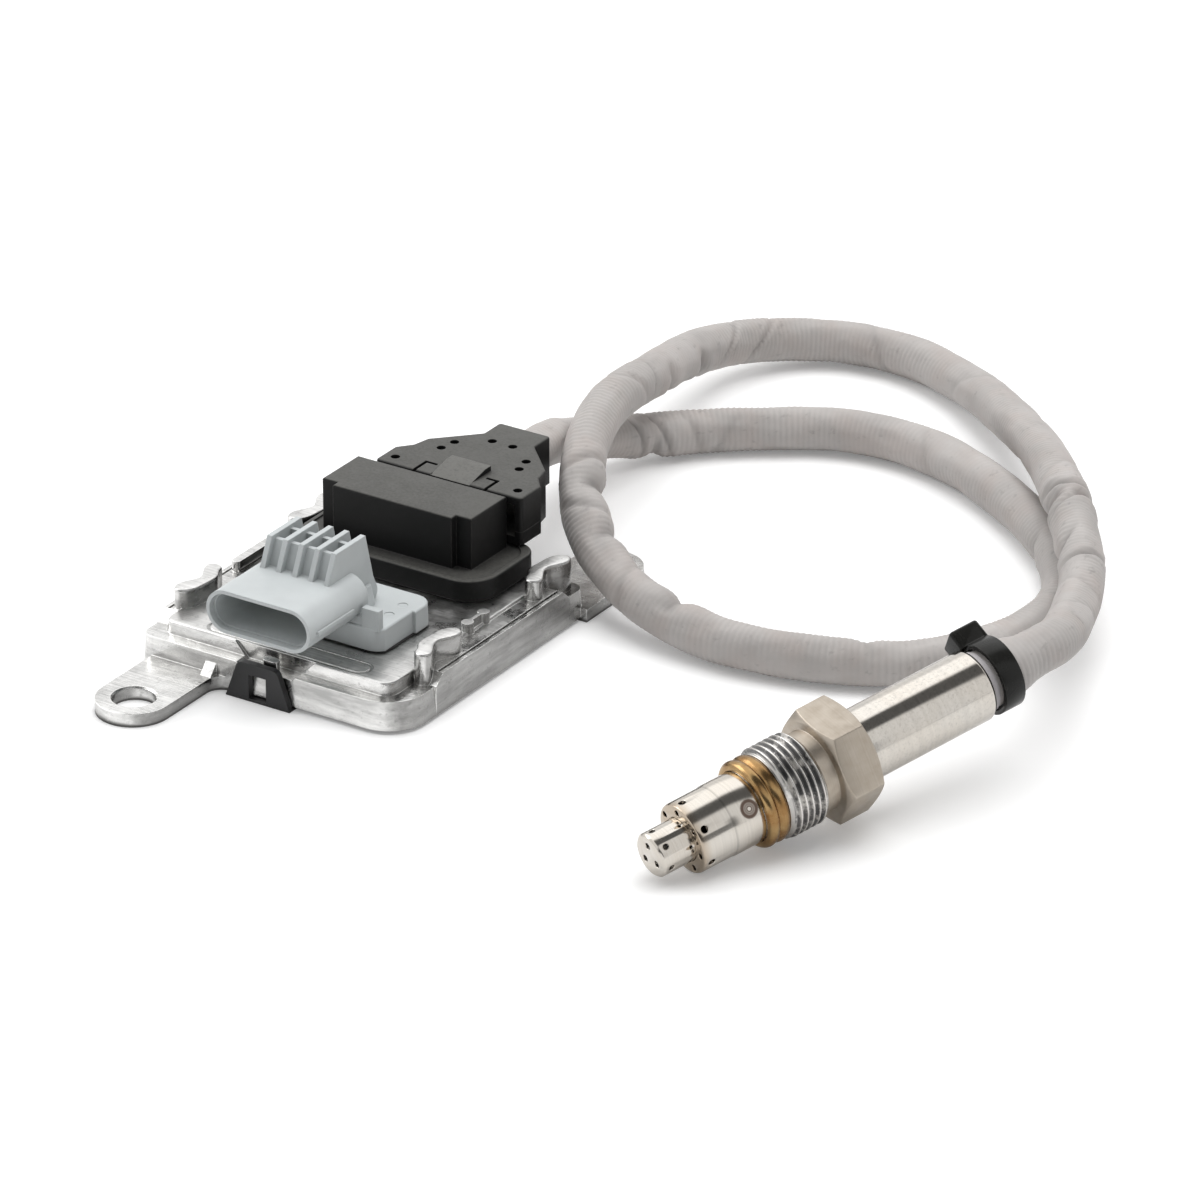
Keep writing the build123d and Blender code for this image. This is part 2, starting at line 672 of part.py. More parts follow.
with BuildPart() as sensor_header:
    with BuildSketch(Plane.XY.offset(connector_seat_z)) as flange:
        with Locations((header_flange_x, flange_mid_y)):
            Rectangle(header_flange_width, flange_depth)
        fillet(flange.vertices().group_by(Axis.Y)[0], header_corner)
        fillet(flange.vertices().group_by(Axis.Y)[-1], header_corner_rear)
    extrude(amount=header_flange_z - connector_seat_z)
    fillet(sensor_header.faces().sort_by(Axis.Z)[-1].edges(), 0.5)
    # Step in the flange's top, inside its rim
    with BuildSketch(Plane.XY.offset(header_flange_z)):
        with Locations((header_flange_x, flange_mid_y)):
            RectangleRounded(header_flange_width - 2 * header_lip, flange_depth - 2 * header_lip,
                             header_corner - header_lip)
    extrude(amount=-0.35, mode=Mode.SUBTRACT)
    with BuildSketch(Plane.XY.offset(header_flange_z - 0.9)):
        with Locations((header_x, header_mid_y)):
            Rectangle(header_width, header_depth)
        # Rebates at the two front corners
        for side in (-1, 1):
            with Locations((header_x + side * header_width / 2, header_front_y)):
                Rectangle(2 * header_notch, 2 * header_notch_depth, mode=Mode.SUBTRACT)
    extrude(amount=header_top_z - header_flange_z + 0.9)
    fillet(sensor_header.faces().sort_by(Axis.Z)[-1].edges(), 0.4)
    # Cavity open to the rear
    with BuildSketch(Plane.XZ.offset(-header_back_y)):
        with Locations((header_x, (cavity_bottom_z + header_top_z - header_wall) / 2)):
            RectangleRounded(cavity_width, header_top_z - header_wall - cavity_bottom_z, 1.0)
    extrude(amount=header_back_y - cavity_front_y, mode=Mode.SUBTRACT)
    # Slots for the contacts down to the board
    for x, z, y in header_pin_places():
        with BuildSketch(Plane.XY.offset(connector_seat_z)):
            with Locations((x, y)):
                Rectangle(pin_width, pin_width)
        extrude(amount=cavity_bottom_z - connector_seat_z, mode=Mode.SUBTRACT)
save(sensor_header.part, "sensor_header")

flange_gasket(header_flange_x, flange_mid_y, header_flange_width - 0.8, flange_depth - 0.8,
              header_corner - 0.4, header_pin_pitch * header_pin_columns + 2.0, 8.0, header_pin_y,
              "sensor_header_gasket")

# Contacts: up from the board, then back towards the plug
with BuildPart() as header_pins:
    for x, z, y in header_pin_places():
        with BuildSketch(Plane.XY.offset(board_top_z)):
            with Locations((x, y)):
                Rectangle(pin_width, pin_width)
        extrude(amount=z + pin_width / 2 - board_top_z)
        with BuildSketch(Plane.XZ.offset(-(y - pin_width / 2))):
            with Locations((x, z)):
                Rectangle(pin_width, pin_width)
        extrude(amount=-(header_back_y - 2.0 - y + pin_width / 2))
save(header_pins.part, "header_pins")

# Plug: a contact block whose nose fills the header, between two half shells
nose_gap = 0.3
nose_front_y = header_pin_y + 3.0
nose_width = cavity_width - 2 * nose_gap
nose_bottom_z = cavity_bottom_z + nose_gap
nose_top_z = header_top_z - header_wall - nose_gap
nose_height = nose_top_z - nose_bottom_z
block_back_y = plug_front_y + 5.0
with BuildPart() as plug_contact_block:
    with BuildSketch(Plane.XZ.offset(-(header_back_y - nose_gap))):
        with Locations((header_x, (nose_bottom_z + nose_top_z) / 2)):
            RectangleRounded(nose_width, nose_height, 0.8)
    extrude(amount=header_back_y - nose_gap - nose_front_y)
    block_x0 = max(header_x - nose_width / 2, plug_x - plug_front_half + plug_wall + plug_gap)
    block_x1 = min(header_x + nose_width / 2, plug_x + plug_front_half - plug_wall - plug_gap)
    with BuildSketch(Plane.XZ.offset(-(header_back_y - nose_gap))):
        with Locations(((block_x0 + block_x1) / 2, (nose_bottom_z + nose_top_z) / 2)):
            Rectangle(block_x1 - block_x0, nose_height)
    extrude(amount=-(block_back_y - header_back_y + nose_gap))
    for x, z, y in header_pin_places():
        with BuildSketch(Plane.XZ.offset(-nose_front_y)):
            with Locations((x, z)):
                Rectangle(pin_width + 0.3, pin_width + 0.3)
        extrude(amount=-(header_back_y - 1.8 - nose_front_y), mode=Mode.SUBTRACT)
save(plug_contact_block.part, "plug_contact_block")

plug_shoulder_y = plug_front_y + plug_front_length
plug_waist_y = plug_shoulder_y + plug_shoulder_length
plug_taper_y = plug_waist_y + plug_waist_length
plug_neck_y = plug_taper_y + plug_taper_length
plug_half = [
    (plug_front_half, plug_front_y), (plug_front_half, plug_shoulder_y),
    (plug_shoulder_half, plug_waist_y), (plug_waist_half, plug_taper_y),
    (plug_rear_half, plug_neck_y), (plug_rear_half, plug_back_y),
]
plug_outline = [(plug_x + w, y) for w, y in plug_half] + [(plug_x - w, y) for w, y in reversed(plug_half)]
# Blind holes in the plug's top: half spacing across, and distance from its front
plug_holes = [(15.5, 3.1), (9.9, 12.1), (9.1, 16.0), (2.6, 20.7)]
latch_x = plug_x + 0.4
latch_back_y = plug_front_y + latch_length


def plug_plan(z):
    """Draw the plug's outline in plan at a height."""
    with BuildSketch(Plane.XY.offset(z)) as plan:
        with BuildLine():
            Polyline(*plug_outline, close=True)
        make_face()
        fillet(plan.vertices(), 0.8)
    return plan.sketch


def plug_hollow(bottom_z, top_z):
    """Cut the space for the leads, open at the front for the contact block."""
    with BuildSketch(Plane.XY.offset(bottom_z)) as hollow:
        with BuildLine():
            Polyline(*plug_outline, close=True)
        make_face()
        offset(amount=-plug_wall, kind=Kind.INTERSECTION)
        with Locations((plug_x, plug_front_y)):
            Rectangle(2 * (plug_front_half - plug_wall), 4 * plug_wall)
    extrude(hollow.sketch, amount=top_z - bottom_z, mode=Mode.SUBTRACT)


with BuildPart() as plug_cover:
    extrude(plug_plan(plug_seam_z), amount=header_top_z - plug_seam_z)
    fillet(plug_cover.faces().sort_by(Axis.Z)[-1].edges(), 0.5)
    plug_hollow(plug_seam_z, header_top_z - plug_wall)
    with BuildSketch(Plane.XY.offset(header_top_z - plug_wall)):
        for width, setback in plug_holes:
            with Locations((plug_x, plug_front_y + setback)):
                with GridLocations(2 * width, 0, 2, 1):
                    Circle(plug_hole_radius)
    extrude(amount=plug_wall, mode=Mode.SUBTRACT)
    # Recess that the latch lies in, and an angled slot on each side of it
    with BuildSketch(Plane.XY.offset(header_top_z - latch_recess)):
        with Locations((latch_x, plug_front_y + latch_length / 2)):
            Rectangle(latch_width, latch_length)
        for side in (-1, 1):
            with Locations((latch_x + side * slot_reach, plug_front_y + slot_length / 2)):
                Rectangle(slot_width, slot_length)
            with Locations((latch_x + side * (slot_reach - slot_leg / 2), plug_front_y + slot_length)):
                Rectangle(slot_leg + slot_width, slot_width)
    extrude(amount=latch_recess, mode=Mode.SUBTRACT)
save(plug_cover.part, "plug_cover")

with BuildPart() as plug_base:
    extrude(plug_plan(plug_bottom_z), amount=plug_seam_z - plug_bottom_z)
    plug_hollow(nose_bottom_z, plug_seam_z)
save(plug_base.part, "plug_base")

with BuildPart() as plug_latch:
    with BuildSketch(Plane.YZ.offset(latch_x - latch_width / 2)):
        with BuildLine():
            Polyline((plug_front_y, header_top_z - latch_recess), (latch_back_y, header_top_z - latch_recess),
                     (latch_back_y, header_top_z + latch_rise),
                     (latch_back_y - latch_flat, header_top_z + latch_rise),
                     (plug_front_y, header_top_z - latch_recess / 4), close=True)
        make_face()
    extrude(amount=latch_width)
save(plug_latch.part, "plug_latch")

with BuildPart() as plug_leads:
    for column in range(header_pin_columns):
        for row in (-0.5, 0.5):
            offset_x = (column - (header_pin_columns - 1) / 2) * (2 * lead_radius + 0.3)
            with BuildSketch(Plane.XZ.offset(-block_back_y)):
                with Locations((plug_x + offset_x, conduit_exit_z + row * (2 * lead_radius + 0.3))):
                    Circle(lead_radius)
            extrude(amount=-(plug_back_y - plug_wall - block_back_y))
save(plug_leads.part, "plug_leads")

# Probe axis: the nose points down to the floor and the shoulder's edge touches it
probe_z = outer_tube_radius * cos(radians(probe_tilt)) - shoulder_s * sin(radians(probe_tilt)) + 0.02
probe_tip = Vector(probe_x, probe_y, probe_z)
probe_dir = Vector(
    cos(radians(probe_yaw)) * cos(radians(probe_tilt)),
    sin(radians(probe_yaw)) * cos(radians(probe_tilt)),
    sin(radians(probe_tilt)),
)
probe_side = Vector(sin(radians(probe_yaw)), -cos(radians(probe_yaw)), 0)
probe_top = probe_side.cross(probe_dir)
probe_axis = Axis(probe_tip, probe_dir)
probe_section = Plane(origin=probe_tip, x_dir=probe_side, z_dir=probe_top)


def outward(angle):
    """Direction square to the probe's axis, turned from its level side towards its top."""
    return probe_side * cos(radians(angle)) + probe_top * sin(radians(angle))


def across(station):
    """Plane square to the probe's axis at a station, facing the rear."""
    return Plane(origin=probe_tip + probe_dir * station, x_dir=probe_side, z_dir=probe_dir)


def turned(outline, mode=Mode.ADD):
    """Revolve an outline of (radius, station) points about the probe's axis."""
    with BuildSketch(probe_section) as profile:
        with BuildLine():
            Polyline(*outline, close=True)
        make_face()
    revolve(profile.sketch, axis=probe_axis, mode=mode)


def radial_holes(station, count, radius, reach, turn):
    """Drill holes square to the probe's axis, evenly spaced round it."""
    for index in range(count):
        way = outward(turn + index * 360 / count)
        with BuildSketch(Plane(origin=across(station).origin, x_dir=probe_dir, z_dir=way)) as drill:
            Circle(radius)
        extrude(drill.sketch, amount=reach, mode=Mode.SUBTRACT)


hex_s = thread_s + thread_length + relief_length
screw_end_s = hex_s + hex_length
sleeve_start_s = screw_end_s - sleeve_overlap
body_start_s = seat_s - 3.5
inner_tube_end_s = body_start_s

with BuildPart() as inner_tube:
    turned([(0, 0), (nose_radius - 0.5, 0), (nose_radius, 0.5), (nose_radius, inner_tube_end_s),
            (nose_radius - nose_wall, inner_tube_end_s), (nose_radius - nose_wall, nose_wall),
            (0, nose_wall)])
    with BuildSketch(across(0)):
        with PolarLocations(nose_hole_circle, 3, start_angle=25):
            Circle(nose_hole_radius)
    extrude(amount=nose_wall, mode=Mode.SUBTRACT)
    radial_holes(nose_hole_s, 6, nose_hole_radius * 0.85, nose_radius + 1, 40)
    radial_holes(shoulder_s - 0.9, 6, nose_hole_radius * 0.5, nose_radius + 1, 10)
save(inner_tube.part, "inner_tube")

with BuildPart() as outer_tube:
    inner = outer_tube_radius - outer_tube_wall
    wide = outer_tube_radius + outer_tube_step
    turned([(nose_radius + 0.05, shoulder_s), (outer_tube_radius - 0.7, shoulder_s),
            (outer_tube_radius - 0.2, shoulder_s + 0.2), (outer_tube_radius, shoulder_s + 0.7),
            (outer_tube_radius, outer_tube_step_s), (wide, outer_tube_step_s + 0.4), (wide, seat_s - 0.05),
            (inner, seat_s - 0.05), (inner, shoulder_s + outer_tube_wall),
            (nose_radius + 0.05, shoulder_s + outer_tube_wall)])
    with BuildSketch(across(shoulder_s)):
        with PolarLocations((nose_radius + outer_tube_radius) / 2, face_hole_count, start_angle=12):
            Circle(face_hole_radius)
    extrude(amount=outer_tube_wall, mode=Mode.SUBTRACT)
    radial_holes(side_hole_s, side_hole_count, side_hole_radius, outer_tube_radius + 1, 35)
save(outer_tube.part, "outer_tube")

with BuildPart() as sensor_body:
    turned([(body_bore, body_start_s), (spigot_radius, body_start_s), (spigot_radius, seat_s),
            (body_radius, seat_s), (body_radius, sleeve_start_s),
            (sleeve_radius - sleeve_wall, sleeve_start_s),
            (sleeve_radius - sleeve_wall, screw_end_s + 1.0), (body_bore, screw_end_s + 1.0)])
save(sensor_body.part, "sensor_body")

with BuildPart() as seat_ring:
    bead = (thread_s - seat_s) / 2
    with BuildSketch(probe_section):
        with BuildLine():
            Line((body_radius + 0.05, seat_s), (seat_ring_radius - seat_ring_bead, seat_s))
            ThreePointArc((seat_ring_radius - seat_ring_bead, seat_s), (seat_ring_radius, seat_s + bead / 2),
                          (seat_ring_radius - seat_ring_bead / 2, seat_s + bead))
            ThreePointArc((seat_ring_radius - seat_ring_bead / 2, seat_s + bead),
                          (seat_ring_radius, seat_s + 1.5 * bead), (seat_ring_radius - 0.6, thread_s - 0.02))
            Polyline((seat_ring_radius - 0.6, thread_s - 0.02), (body_radius + 0.05, thread_s - 0.02),
                     (body_radius + 0.05, seat_s))
        make_face()
    revolve(axis=probe_axis)
save(seat_ring.part, "seat_ring")

# Union screw: thread, relief and hexagon in one turned piece that spins on the body
screw_bore = body_radius + screw_clearance
hex_corner = hex_across_flats / 2 / cos(radians(30))
chamfer_radius = hex_across_flats / 2 - 0.4
with BuildPart() as union_screw:
    with BuildSketch(across(hex_s)):
        RegularPolygon(hex_corner, 6, rotation=8)
    extrude(amount=hex_length)
    turned([(0, hex_s), (chamfer_radius, hex_s), (hex_corner, hex_s + 1.0),
            (hex_corner, screw_end_s - 1.0), (chamfer_radius, screw_end_s), (0, screw_end_s)], Mode.INTERSECT)
    turned([(0, thread_s), (thread_radius - 1.0, thread_s), (thread_radius, thread_s + 1.0),
            (thread_radius, thread_s + thread_length - 0.8), (relief_radius, thread_s + thread_length),
            (relief_radius, hex_s + 0.5), (0, hex_s + 0.5)])
    turned([(0, thread_s), (screw_bore, thread_s), (screw_bore, screw_end_s), (0, screw_end_s)],
           Mode.SUBTRACT)
save(union_screw.part, "union_screw")

with BuildPart() as sleeve:
    turned([(sleeve_radius - sleeve_wall + 0.02, sleeve_start_s), (sleeve_radius, sleeve_start_s),
            (sleeve_radius, sleeve_end_s - 0.8), (sleeve_radius - 0.5, sleeve_end_s),
            (sleeve_radius - sleeve_wall - 0.6, sleeve_end_s),
            (sleeve_radius - sleeve_wall + 0.02, sleeve_end_s - 1.0)])
save(sleeve.part, "sleeve")

# Inside the probe: the sensing strip, held by bushes and pressed powder
powder_s = body_start_s + bush_length
rear_bush_s = powder_s + powder_length
holder_s = screw_end_s + 3.0
grommet_s = sleeve_end_s - grommet_length
bush_radius = body_bore - 0.02


def strip_slot(station, length):
    """Cut the slot that the sensing strip passes through."""
    with BuildSketch(across(station)) as slot:
        Rectangle(element_width + 0.04, element_thickness + 0.04)
    extrude(slot.sketch, amount=length, mode=Mode.SUBTRACT)


for label, start, length in (("front_bush", body_start_s, bush_length),
                             ("powder_seal", powder_s, powder_length),
                             ("rear_bush", rear_bush_s, bush_length)):
    with BuildPart() as bush:
        turned([(0, start), (bush_radius, start), (bush_radius, start + length), (0, start + length)])
        strip_slot(start, length)
    save(bush.part, label)

with BuildPart() as sensing_element:
    with BuildSketch(across(3.0)):
        Rectangle(element_width, element_thickness)
    extrude(amount=holder_s + 4.0 - 3.0)
save(sensing_element.part, "sensing_element")

with BuildPart() as contact_holder:
    holder_radius = sleeve_radius - sleeve_wall - 0.2
    turned([(0, holder_s), (holder_radius, holder_s), (holder_radius, holder_s + holder_length),
            (0, holder_s + holder_length)])
    strip_slot(holder_s, 4.3)
save(contact_holder.part, "contact_holder")

with BuildPart() as cable_grommet:
    neck_radius = sleeve_radius - sleeve_wall - 0.02
    turned([(0, grommet_s), (neck_radius, grommet_s), (neck_radius, sleeve_end_s - 1.2),
            (sleeve_radius - sleeve_wall - 0.65, sleeve_end_s - 0.2), (cuff_radius - 0.2, sleeve_end_s),
            (cuff_radius - 0.2, sleeve_end_s + grommet_proud), (0, sleeve_end_s + grommet_proud)])
    with BuildSketch(across(grommet_s)):
        with PolarLocations(wire_circle, wire_count):
            Circle(wire_radius + 0.02)
    extrude(amount=grommet_length + grommet_proud, mode=Mode.SUBTRACT)
save(cable_grommet.part, "cable_grommet")

with BuildPart() as probe_leads:
    with BuildSketch(across(holder_s + holder_length)):
        with PolarLocations(wire_circle, wire_count):
            Circle(wire_radius)
    extrude(amount=sleeve_end_s + grommet_proud - holder_s - holder_length)
save(probe_leads.part, "probe_leads")

# Conduit: its route runs from the plug's rear face to the grommet, with chosen points between
conduit_start_s = sleeve_end_s + grommet_proud
conduit_run = 13.0
route_start = (plug_x + 0.5, plug_back_y, conduit_exit_z)
route_end = probe_tip + probe_dir * conduit_start_s
route_lead = probe_tip + probe_dir * (conduit_start_s + conduit_run)
route = [
    route_start,
    (-1.4, 68.0, 19.4), (-6.5, 82.5, 13.0), (-5.5, 100.5, 7.0), (4.0, 114.0, conduit_floor_z),
    (17.5, 125.5, conduit_floor_z), (32.0, 134.5, conduit_floor_z), (49.0, 136.5, conduit_floor_z),
    (67.0, 131.5, conduit_floor_z), (87.0, 120.0, conduit_floor_z), (106.0, 103.5, conduit_floor_z),
    (118.0, 83.5, conduit_floor_z), (117.0, 61.5, conduit_floor_z), (106.0, 43.5, conduit_floor_z),
    (86.0, 33.5, conduit_floor_z), (62.0, 29.5, conduit_floor_z), (38.5, 35.5, 8.4),
    (21.5, 46.5, 15.0), (11.5, 62.0, 21.5), (4.5, 80.5, 24.0), (2.0, 98.0, 22.5),
    (-4.5, 122.5, 16.8), (-8.5, 143.0, 11.5), (-7.0, 160.0, 7.5), (4.0, 173.5, conduit_floor_z),
    (22.0, 177.0, conduit_floor_z), (40.5, 171.5, conduit_floor_z), (60.0, 157.5, 7.8),
    (79.0, 138.5, 11.8), (97.0, 117.5, 15.8), (113.0, 96.5, 17.8), (126.0, 78.0, 15.8),
    (132.8, 60.0, 16.0), (140.6, 42.5, 21.4),
    (route_lead.X, route_lead.Y, route_lead.Z),
    (route_end.X, route_end.Y, route_end.Z),
]
corners = [Vector(*point) for point in route]
bend_radii = []
for before, corner, after in zip(corners, corners[1:], corners[2:]):
    into = corner - before
    out = after - corner
    half_turn = radians(into.get_angle(out)) / 2
    bend_radii.append(0.45 * min(into.length, out.length) / tan(half_turn))
print("conduit bend radii:", [round(r, 1) for r in bend_radii])

with BuildPart() as conduit:
    with BuildLine() as conduit_path:
        FilletPolyline(*route, radius=bend_radii)
    with BuildSketch(Plane(origin=conduit_path.line @ 0, z_dir=conduit_path.line % 0)):
        Circle(conduit_diameter / 2)
    sweep(path=conduit_path.wires()[0])
tube_volume = conduit.part.volume
tube_length = sum(edge.length for edge in conduit_path.edges())
section_volume = pi * (conduit_diameter / 2) ** 2 * tube_length
print("conduit length", round(tube_length, 1))
print("volume against section", round(tube_volume / section_volume, 5))
with conduit:
    # Its start is cut flush with the plug's rear face
    with BuildSketch(Plane.XZ.offset(-plug_back_y)):
        with Locations((plug_x, conduit_exit_z)):
            Rectangle(1.3 * conduit_diameter, 2 * conduit_diameter)
    extrude(amount=conduit_diameter, mode=Mode.SUBTRACT)
    # Its end is stretched over the grommet's neck into a wider cuff
    cuff_end_s = conduit_start_s + cuff_length
    turned([(0, conduit_start_s), (cuff_radius, conduit_start_s), (cuff_radius, cuff_end_s - cuff_taper),
            (conduit_diameter / 2 + cuff_step, cuff_end_s), (0, cuff_end_s)])
save(conduit.part, "conduit")

# Cable tie: a band round the cuff with its square lock at the upper left
tie_s = conduit_start_s + tie_start
tie_inner = cuff_radius + tie_gap
tie_outer = tie_inner + tie_thickness
with BuildPart() as cable_tie:
    turned([(tie_inner, tie_s), (tie_outer, tie_s), (tie_outer, tie_s + tie_width),
            (tie_inner, tie_s + tie_width)])
    lock_way = outward(tie_head_angle)
    lock_plane = Plane(origin=across(tie_s + tie_width / 2).origin, x_dir=probe_dir, z_dir=lock_way)
    with BuildSketch(lock_plane.offset(tie_inner + 0.2)):
        RectangleRounded(tie_head_width, tie_head_length, 0.8)
    extrude(amount=tie_head_height)
    fillet(cable_tie.faces().sort_by(Axis(lock_plane.origin, lock_way))[-1].edges(), 0.6)
save(cable_tie.part, "cable_tie")
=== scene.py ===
import json
from math import cos, exp, pi, radians, sin

import bpy
from bpy.props import FloatProperty, FloatVectorProperty, IntProperty, PointerProperty
from bpy.types import Operator, Panel, PropertyGroup
from mathutils import Matrix, Vector, noise

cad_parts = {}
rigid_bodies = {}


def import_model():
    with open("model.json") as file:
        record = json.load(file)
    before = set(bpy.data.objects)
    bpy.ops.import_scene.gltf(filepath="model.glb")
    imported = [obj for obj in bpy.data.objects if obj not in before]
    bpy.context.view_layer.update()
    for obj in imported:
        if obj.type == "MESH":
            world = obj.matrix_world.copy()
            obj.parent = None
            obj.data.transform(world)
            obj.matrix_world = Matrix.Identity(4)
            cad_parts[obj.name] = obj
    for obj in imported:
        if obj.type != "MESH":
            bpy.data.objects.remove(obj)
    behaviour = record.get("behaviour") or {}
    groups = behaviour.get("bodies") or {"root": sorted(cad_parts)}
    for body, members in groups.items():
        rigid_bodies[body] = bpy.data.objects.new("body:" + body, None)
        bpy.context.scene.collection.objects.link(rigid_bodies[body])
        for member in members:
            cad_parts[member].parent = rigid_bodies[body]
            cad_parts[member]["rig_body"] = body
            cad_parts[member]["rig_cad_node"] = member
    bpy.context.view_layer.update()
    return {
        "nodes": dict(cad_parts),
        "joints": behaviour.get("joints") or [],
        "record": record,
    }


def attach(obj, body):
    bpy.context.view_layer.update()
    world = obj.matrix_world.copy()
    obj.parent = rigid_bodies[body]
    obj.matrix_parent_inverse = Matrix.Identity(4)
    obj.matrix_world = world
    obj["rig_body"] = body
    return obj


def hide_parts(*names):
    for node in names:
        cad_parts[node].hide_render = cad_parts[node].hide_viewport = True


bl_info = {
    "name": "Exhaust Sensor Dresser",
    "version": (1, 0, 0),
    "blender": (4, 5, 0),
    "location": "3D View > Sidebar > Sensor",
    "description": "Finishes, conduit, thread and stage for the nitrogen oxide sensor",
    "category": "Object",
}

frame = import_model()
nodes = frame["nodes"]

mm = 0.001
BODY = "sensor"
SCREW_BODY = "union_screw"

# The probe's axis comes from the screw's joint, whose point is this far from the nose's tip
SPIN_STATION = 40.0 * mm
spin = frame["joints"][0]
probe_dir = Vector(spin["axis"]).normalized()
probe_tip = Vector(spin["pos_m"]) - probe_dir * SPIN_STATION
probe_side = probe_dir.cross(Vector((0, 0, 1))).normalized()
probe_top = probe_side.cross(probe_dir)

# Where the conduit leaves the plug and meets the probe's grommet, and the points of its route, in metres
CONDUIT_START = (0.0000, 0.0584, 0.0205)
CONDUIT_END_STATION = 82.5 * mm
CONDUIT_RUN = 13.0 * mm
CONDUIT_ROUTE = [
    (-0.0014, 0.0680, 0.0194), (-0.0065, 0.0825, 0.0130), (-0.0055, 0.1005, 0.0070),
    (0.0040, 0.1140, 0.0053), (0.0175, 0.1255, 0.0053), (0.0320, 0.1345, 0.0053),
    (0.0490, 0.1365, 0.0053), (0.0670, 0.1315, 0.0053), (0.0870, 0.1200, 0.0053),
    (0.1060, 0.1035, 0.0053), (0.1180, 0.0835, 0.0053), (0.1170, 0.0615, 0.0053),
    (0.1060, 0.0435, 0.0053), (0.0860, 0.0335, 0.0053), (0.0620, 0.0295, 0.0053),
    (0.0385, 0.0355, 0.0084), (0.0215, 0.0465, 0.0150), (0.0115, 0.0620, 0.0215),
    (0.0045, 0.0805, 0.0240), (0.0020, 0.0980, 0.0225), (-0.0045, 0.1225, 0.0168),
    (-0.0085, 0.1430, 0.0115), (-0.0070, 0.1600, 0.0075), (0.0040, 0.1735, 0.0053),
    (0.0220, 0.1770, 0.0053), (0.0405, 0.1715, 0.0053), (0.0600, 0.1575, 0.0078),
    (0.0790, 0.1385, 0.0118), (0.0970, 0.1175, 0.0158), (0.1130, 0.0965, 0.0178),
    (0.1260, 0.0780, 0.0158), (0.1328, 0.0600, 0.0160), (0.1406, 0.0425, 0.0214),
]

# Creases of the conduit, in millimetres: station, lean over a radius, side (0 above, 1 right and -1 left
# of its heading), depth, width
# The depth of each crease also sets the painted shade along it
CREASES = [
    (394.8, -2.2, 0, 0.55, 0.9), (443.6, -6.0, 0, 0.45, 0.8), (456.0, -5.0, 0, 0.40, 0.8),
    (426.0, 1.0, 1, 0.75, 2.2), (404.0, 2.0, 1, 0.50, 2.5), (386.0, 3.0, 0, 0.35, 1.2),
    (54.8, 2.5, 0, 0.55, 0.9), (48.3, 2.0, 0, 0.50, 0.9), (53.5, 0.0, 1, 0.60, 1.8),
    (62.5, 2.0, 0, 0.30, 1.3), (71.0, -3.0, 0, 0.25, 1.5),
    (343.0, 0.0, 1, 0.90, 2.4), (326.5, 1.0, 1, 0.70, 2.6), (298.5, 0.0, 1, 0.70, 2.4),
    (350.0, 2.0, 0, 0.45, 1.2), (336.0, -2.5, 0, 0.35, 1.2), (312.0, 2.0, 0, 0.30, 1.4),
    (602.0, -1.3, 0, 1.60, 1.0), (610.0, 3.0, 0, 1.00, 1.1), (607.0, 0.0, -1, 0.90, 2.0),
    (606.0, 0.0, 1, 0.80, 3.0), (635.0, 1.0, 0, 0.80, 0.9), (623.0, 5.0, 1, 0.60, 1.8),
    (590.0, 4.0, 0, 0.30, 1.6), (648.0, -3.0, 0, 0.30, 1.5), (660.0, 3.0, 0, 0.35, 1.4),
    (172.0, 2.0, 1, 0.40, 2.0), (206.0, -2.0, 0, 0.30, 1.4), (252.0, 2.5, 1, 0.35, 1.8),
    (520.0, -4.0, 0, 0.25, 1.6), (488.0, 3.0, 0, 0.30, 1.4), (120.0, 3.0, 0, 0.20, 1.4),
]
# How much deeper they are than that, and how far along the conduit one reaches, in millimetres
CREASE_SCALE = 1.5
CREASE_REACH = 14.0
# The side of the conduit that its creases lie on
CREASE_SIDE = Vector((0.488, -0.755, 0.438))

# Ribs and tie end of the conduit, and the waves of its surface for each metre of its run
RIB_STEPS = 4
RIB_DRIFT = 0.35 * mm
SKIN_INSET = 0.35 * mm
FLARE_HEIGHT = 1.25 * mm
FLARE_RUN = 9.5 * mm
FLARE_SLOPE = 1.2 * mm
DRIFT_WAVES = 45
FADE_WAVES = 30
DENT_WAVES = 38
FOLD_WAVES = 95
FOLD_TWIST = 60

# The long panel outlined on the housing's top, and where the plateau's satin and the foot's painted shadow lie
PANEL_X = -2.0 * mm
PANEL_Y = -27.6 * mm
PANEL_LENGTH = 40.0 * mm
PANEL_WIDTH = 5.0 * mm
PANEL_LINE = (0.18 * mm, 0.44 * mm)
SATIN_HEIGHT = (9.4 * mm, 9.9 * mm)
FOOT_HEIGHT = (0.35 * mm, 1.0 * mm)

# Marks on the outer tube: its weld, the line of its lap and its heated shoulder
TUBE_RADIUS = 7.6 * mm
WELD_STATION = 20.3 * mm
WELD_TURN = radians(31.0)
WELD_REACH = 3.5 * mm
WELD_RINGS = [(0.0, 0.0), (0.10, 0.0), (0.14, 1.0), (0.20, 0.55), (0.27, 0.75), (0.33, 0.60),
              (0.40, 0.95), (0.52, 0.90), (0.60, 0.0)]
LAP_STATION = 16.0 * mm
LAP_LINE = (0.05 * mm, 0.35 * mm)
SHOULDER_STATION = 7.8 * mm
SHOULDER_GLOW = (0.3 * mm, 2.2 * mm)

# The cut thread: points round it, rows for each turn, crests, ends and rubbed edges, which are painted
# crest-bright as wear and a painted highlight
THREAD_TURNS = 64
THREAD_STEPS = 10
CREST_RISE = 1.35
CREST_CUT = 0.15
SCREW_OVERLAP = 0.1 * mm
THREAD_CHAMFER = 1.0 * mm
THREAD_END_SLOPE = 1.2
ROOT_SLACK = 0.25 * mm
BORE_CHAMFER = 0.3 * mm
RUBBED_FRONT = 0.7 * mm
RUBBED_REAR = 0.6 * mm
RUBBED_HIGHLIGHT_TONE = 0.12

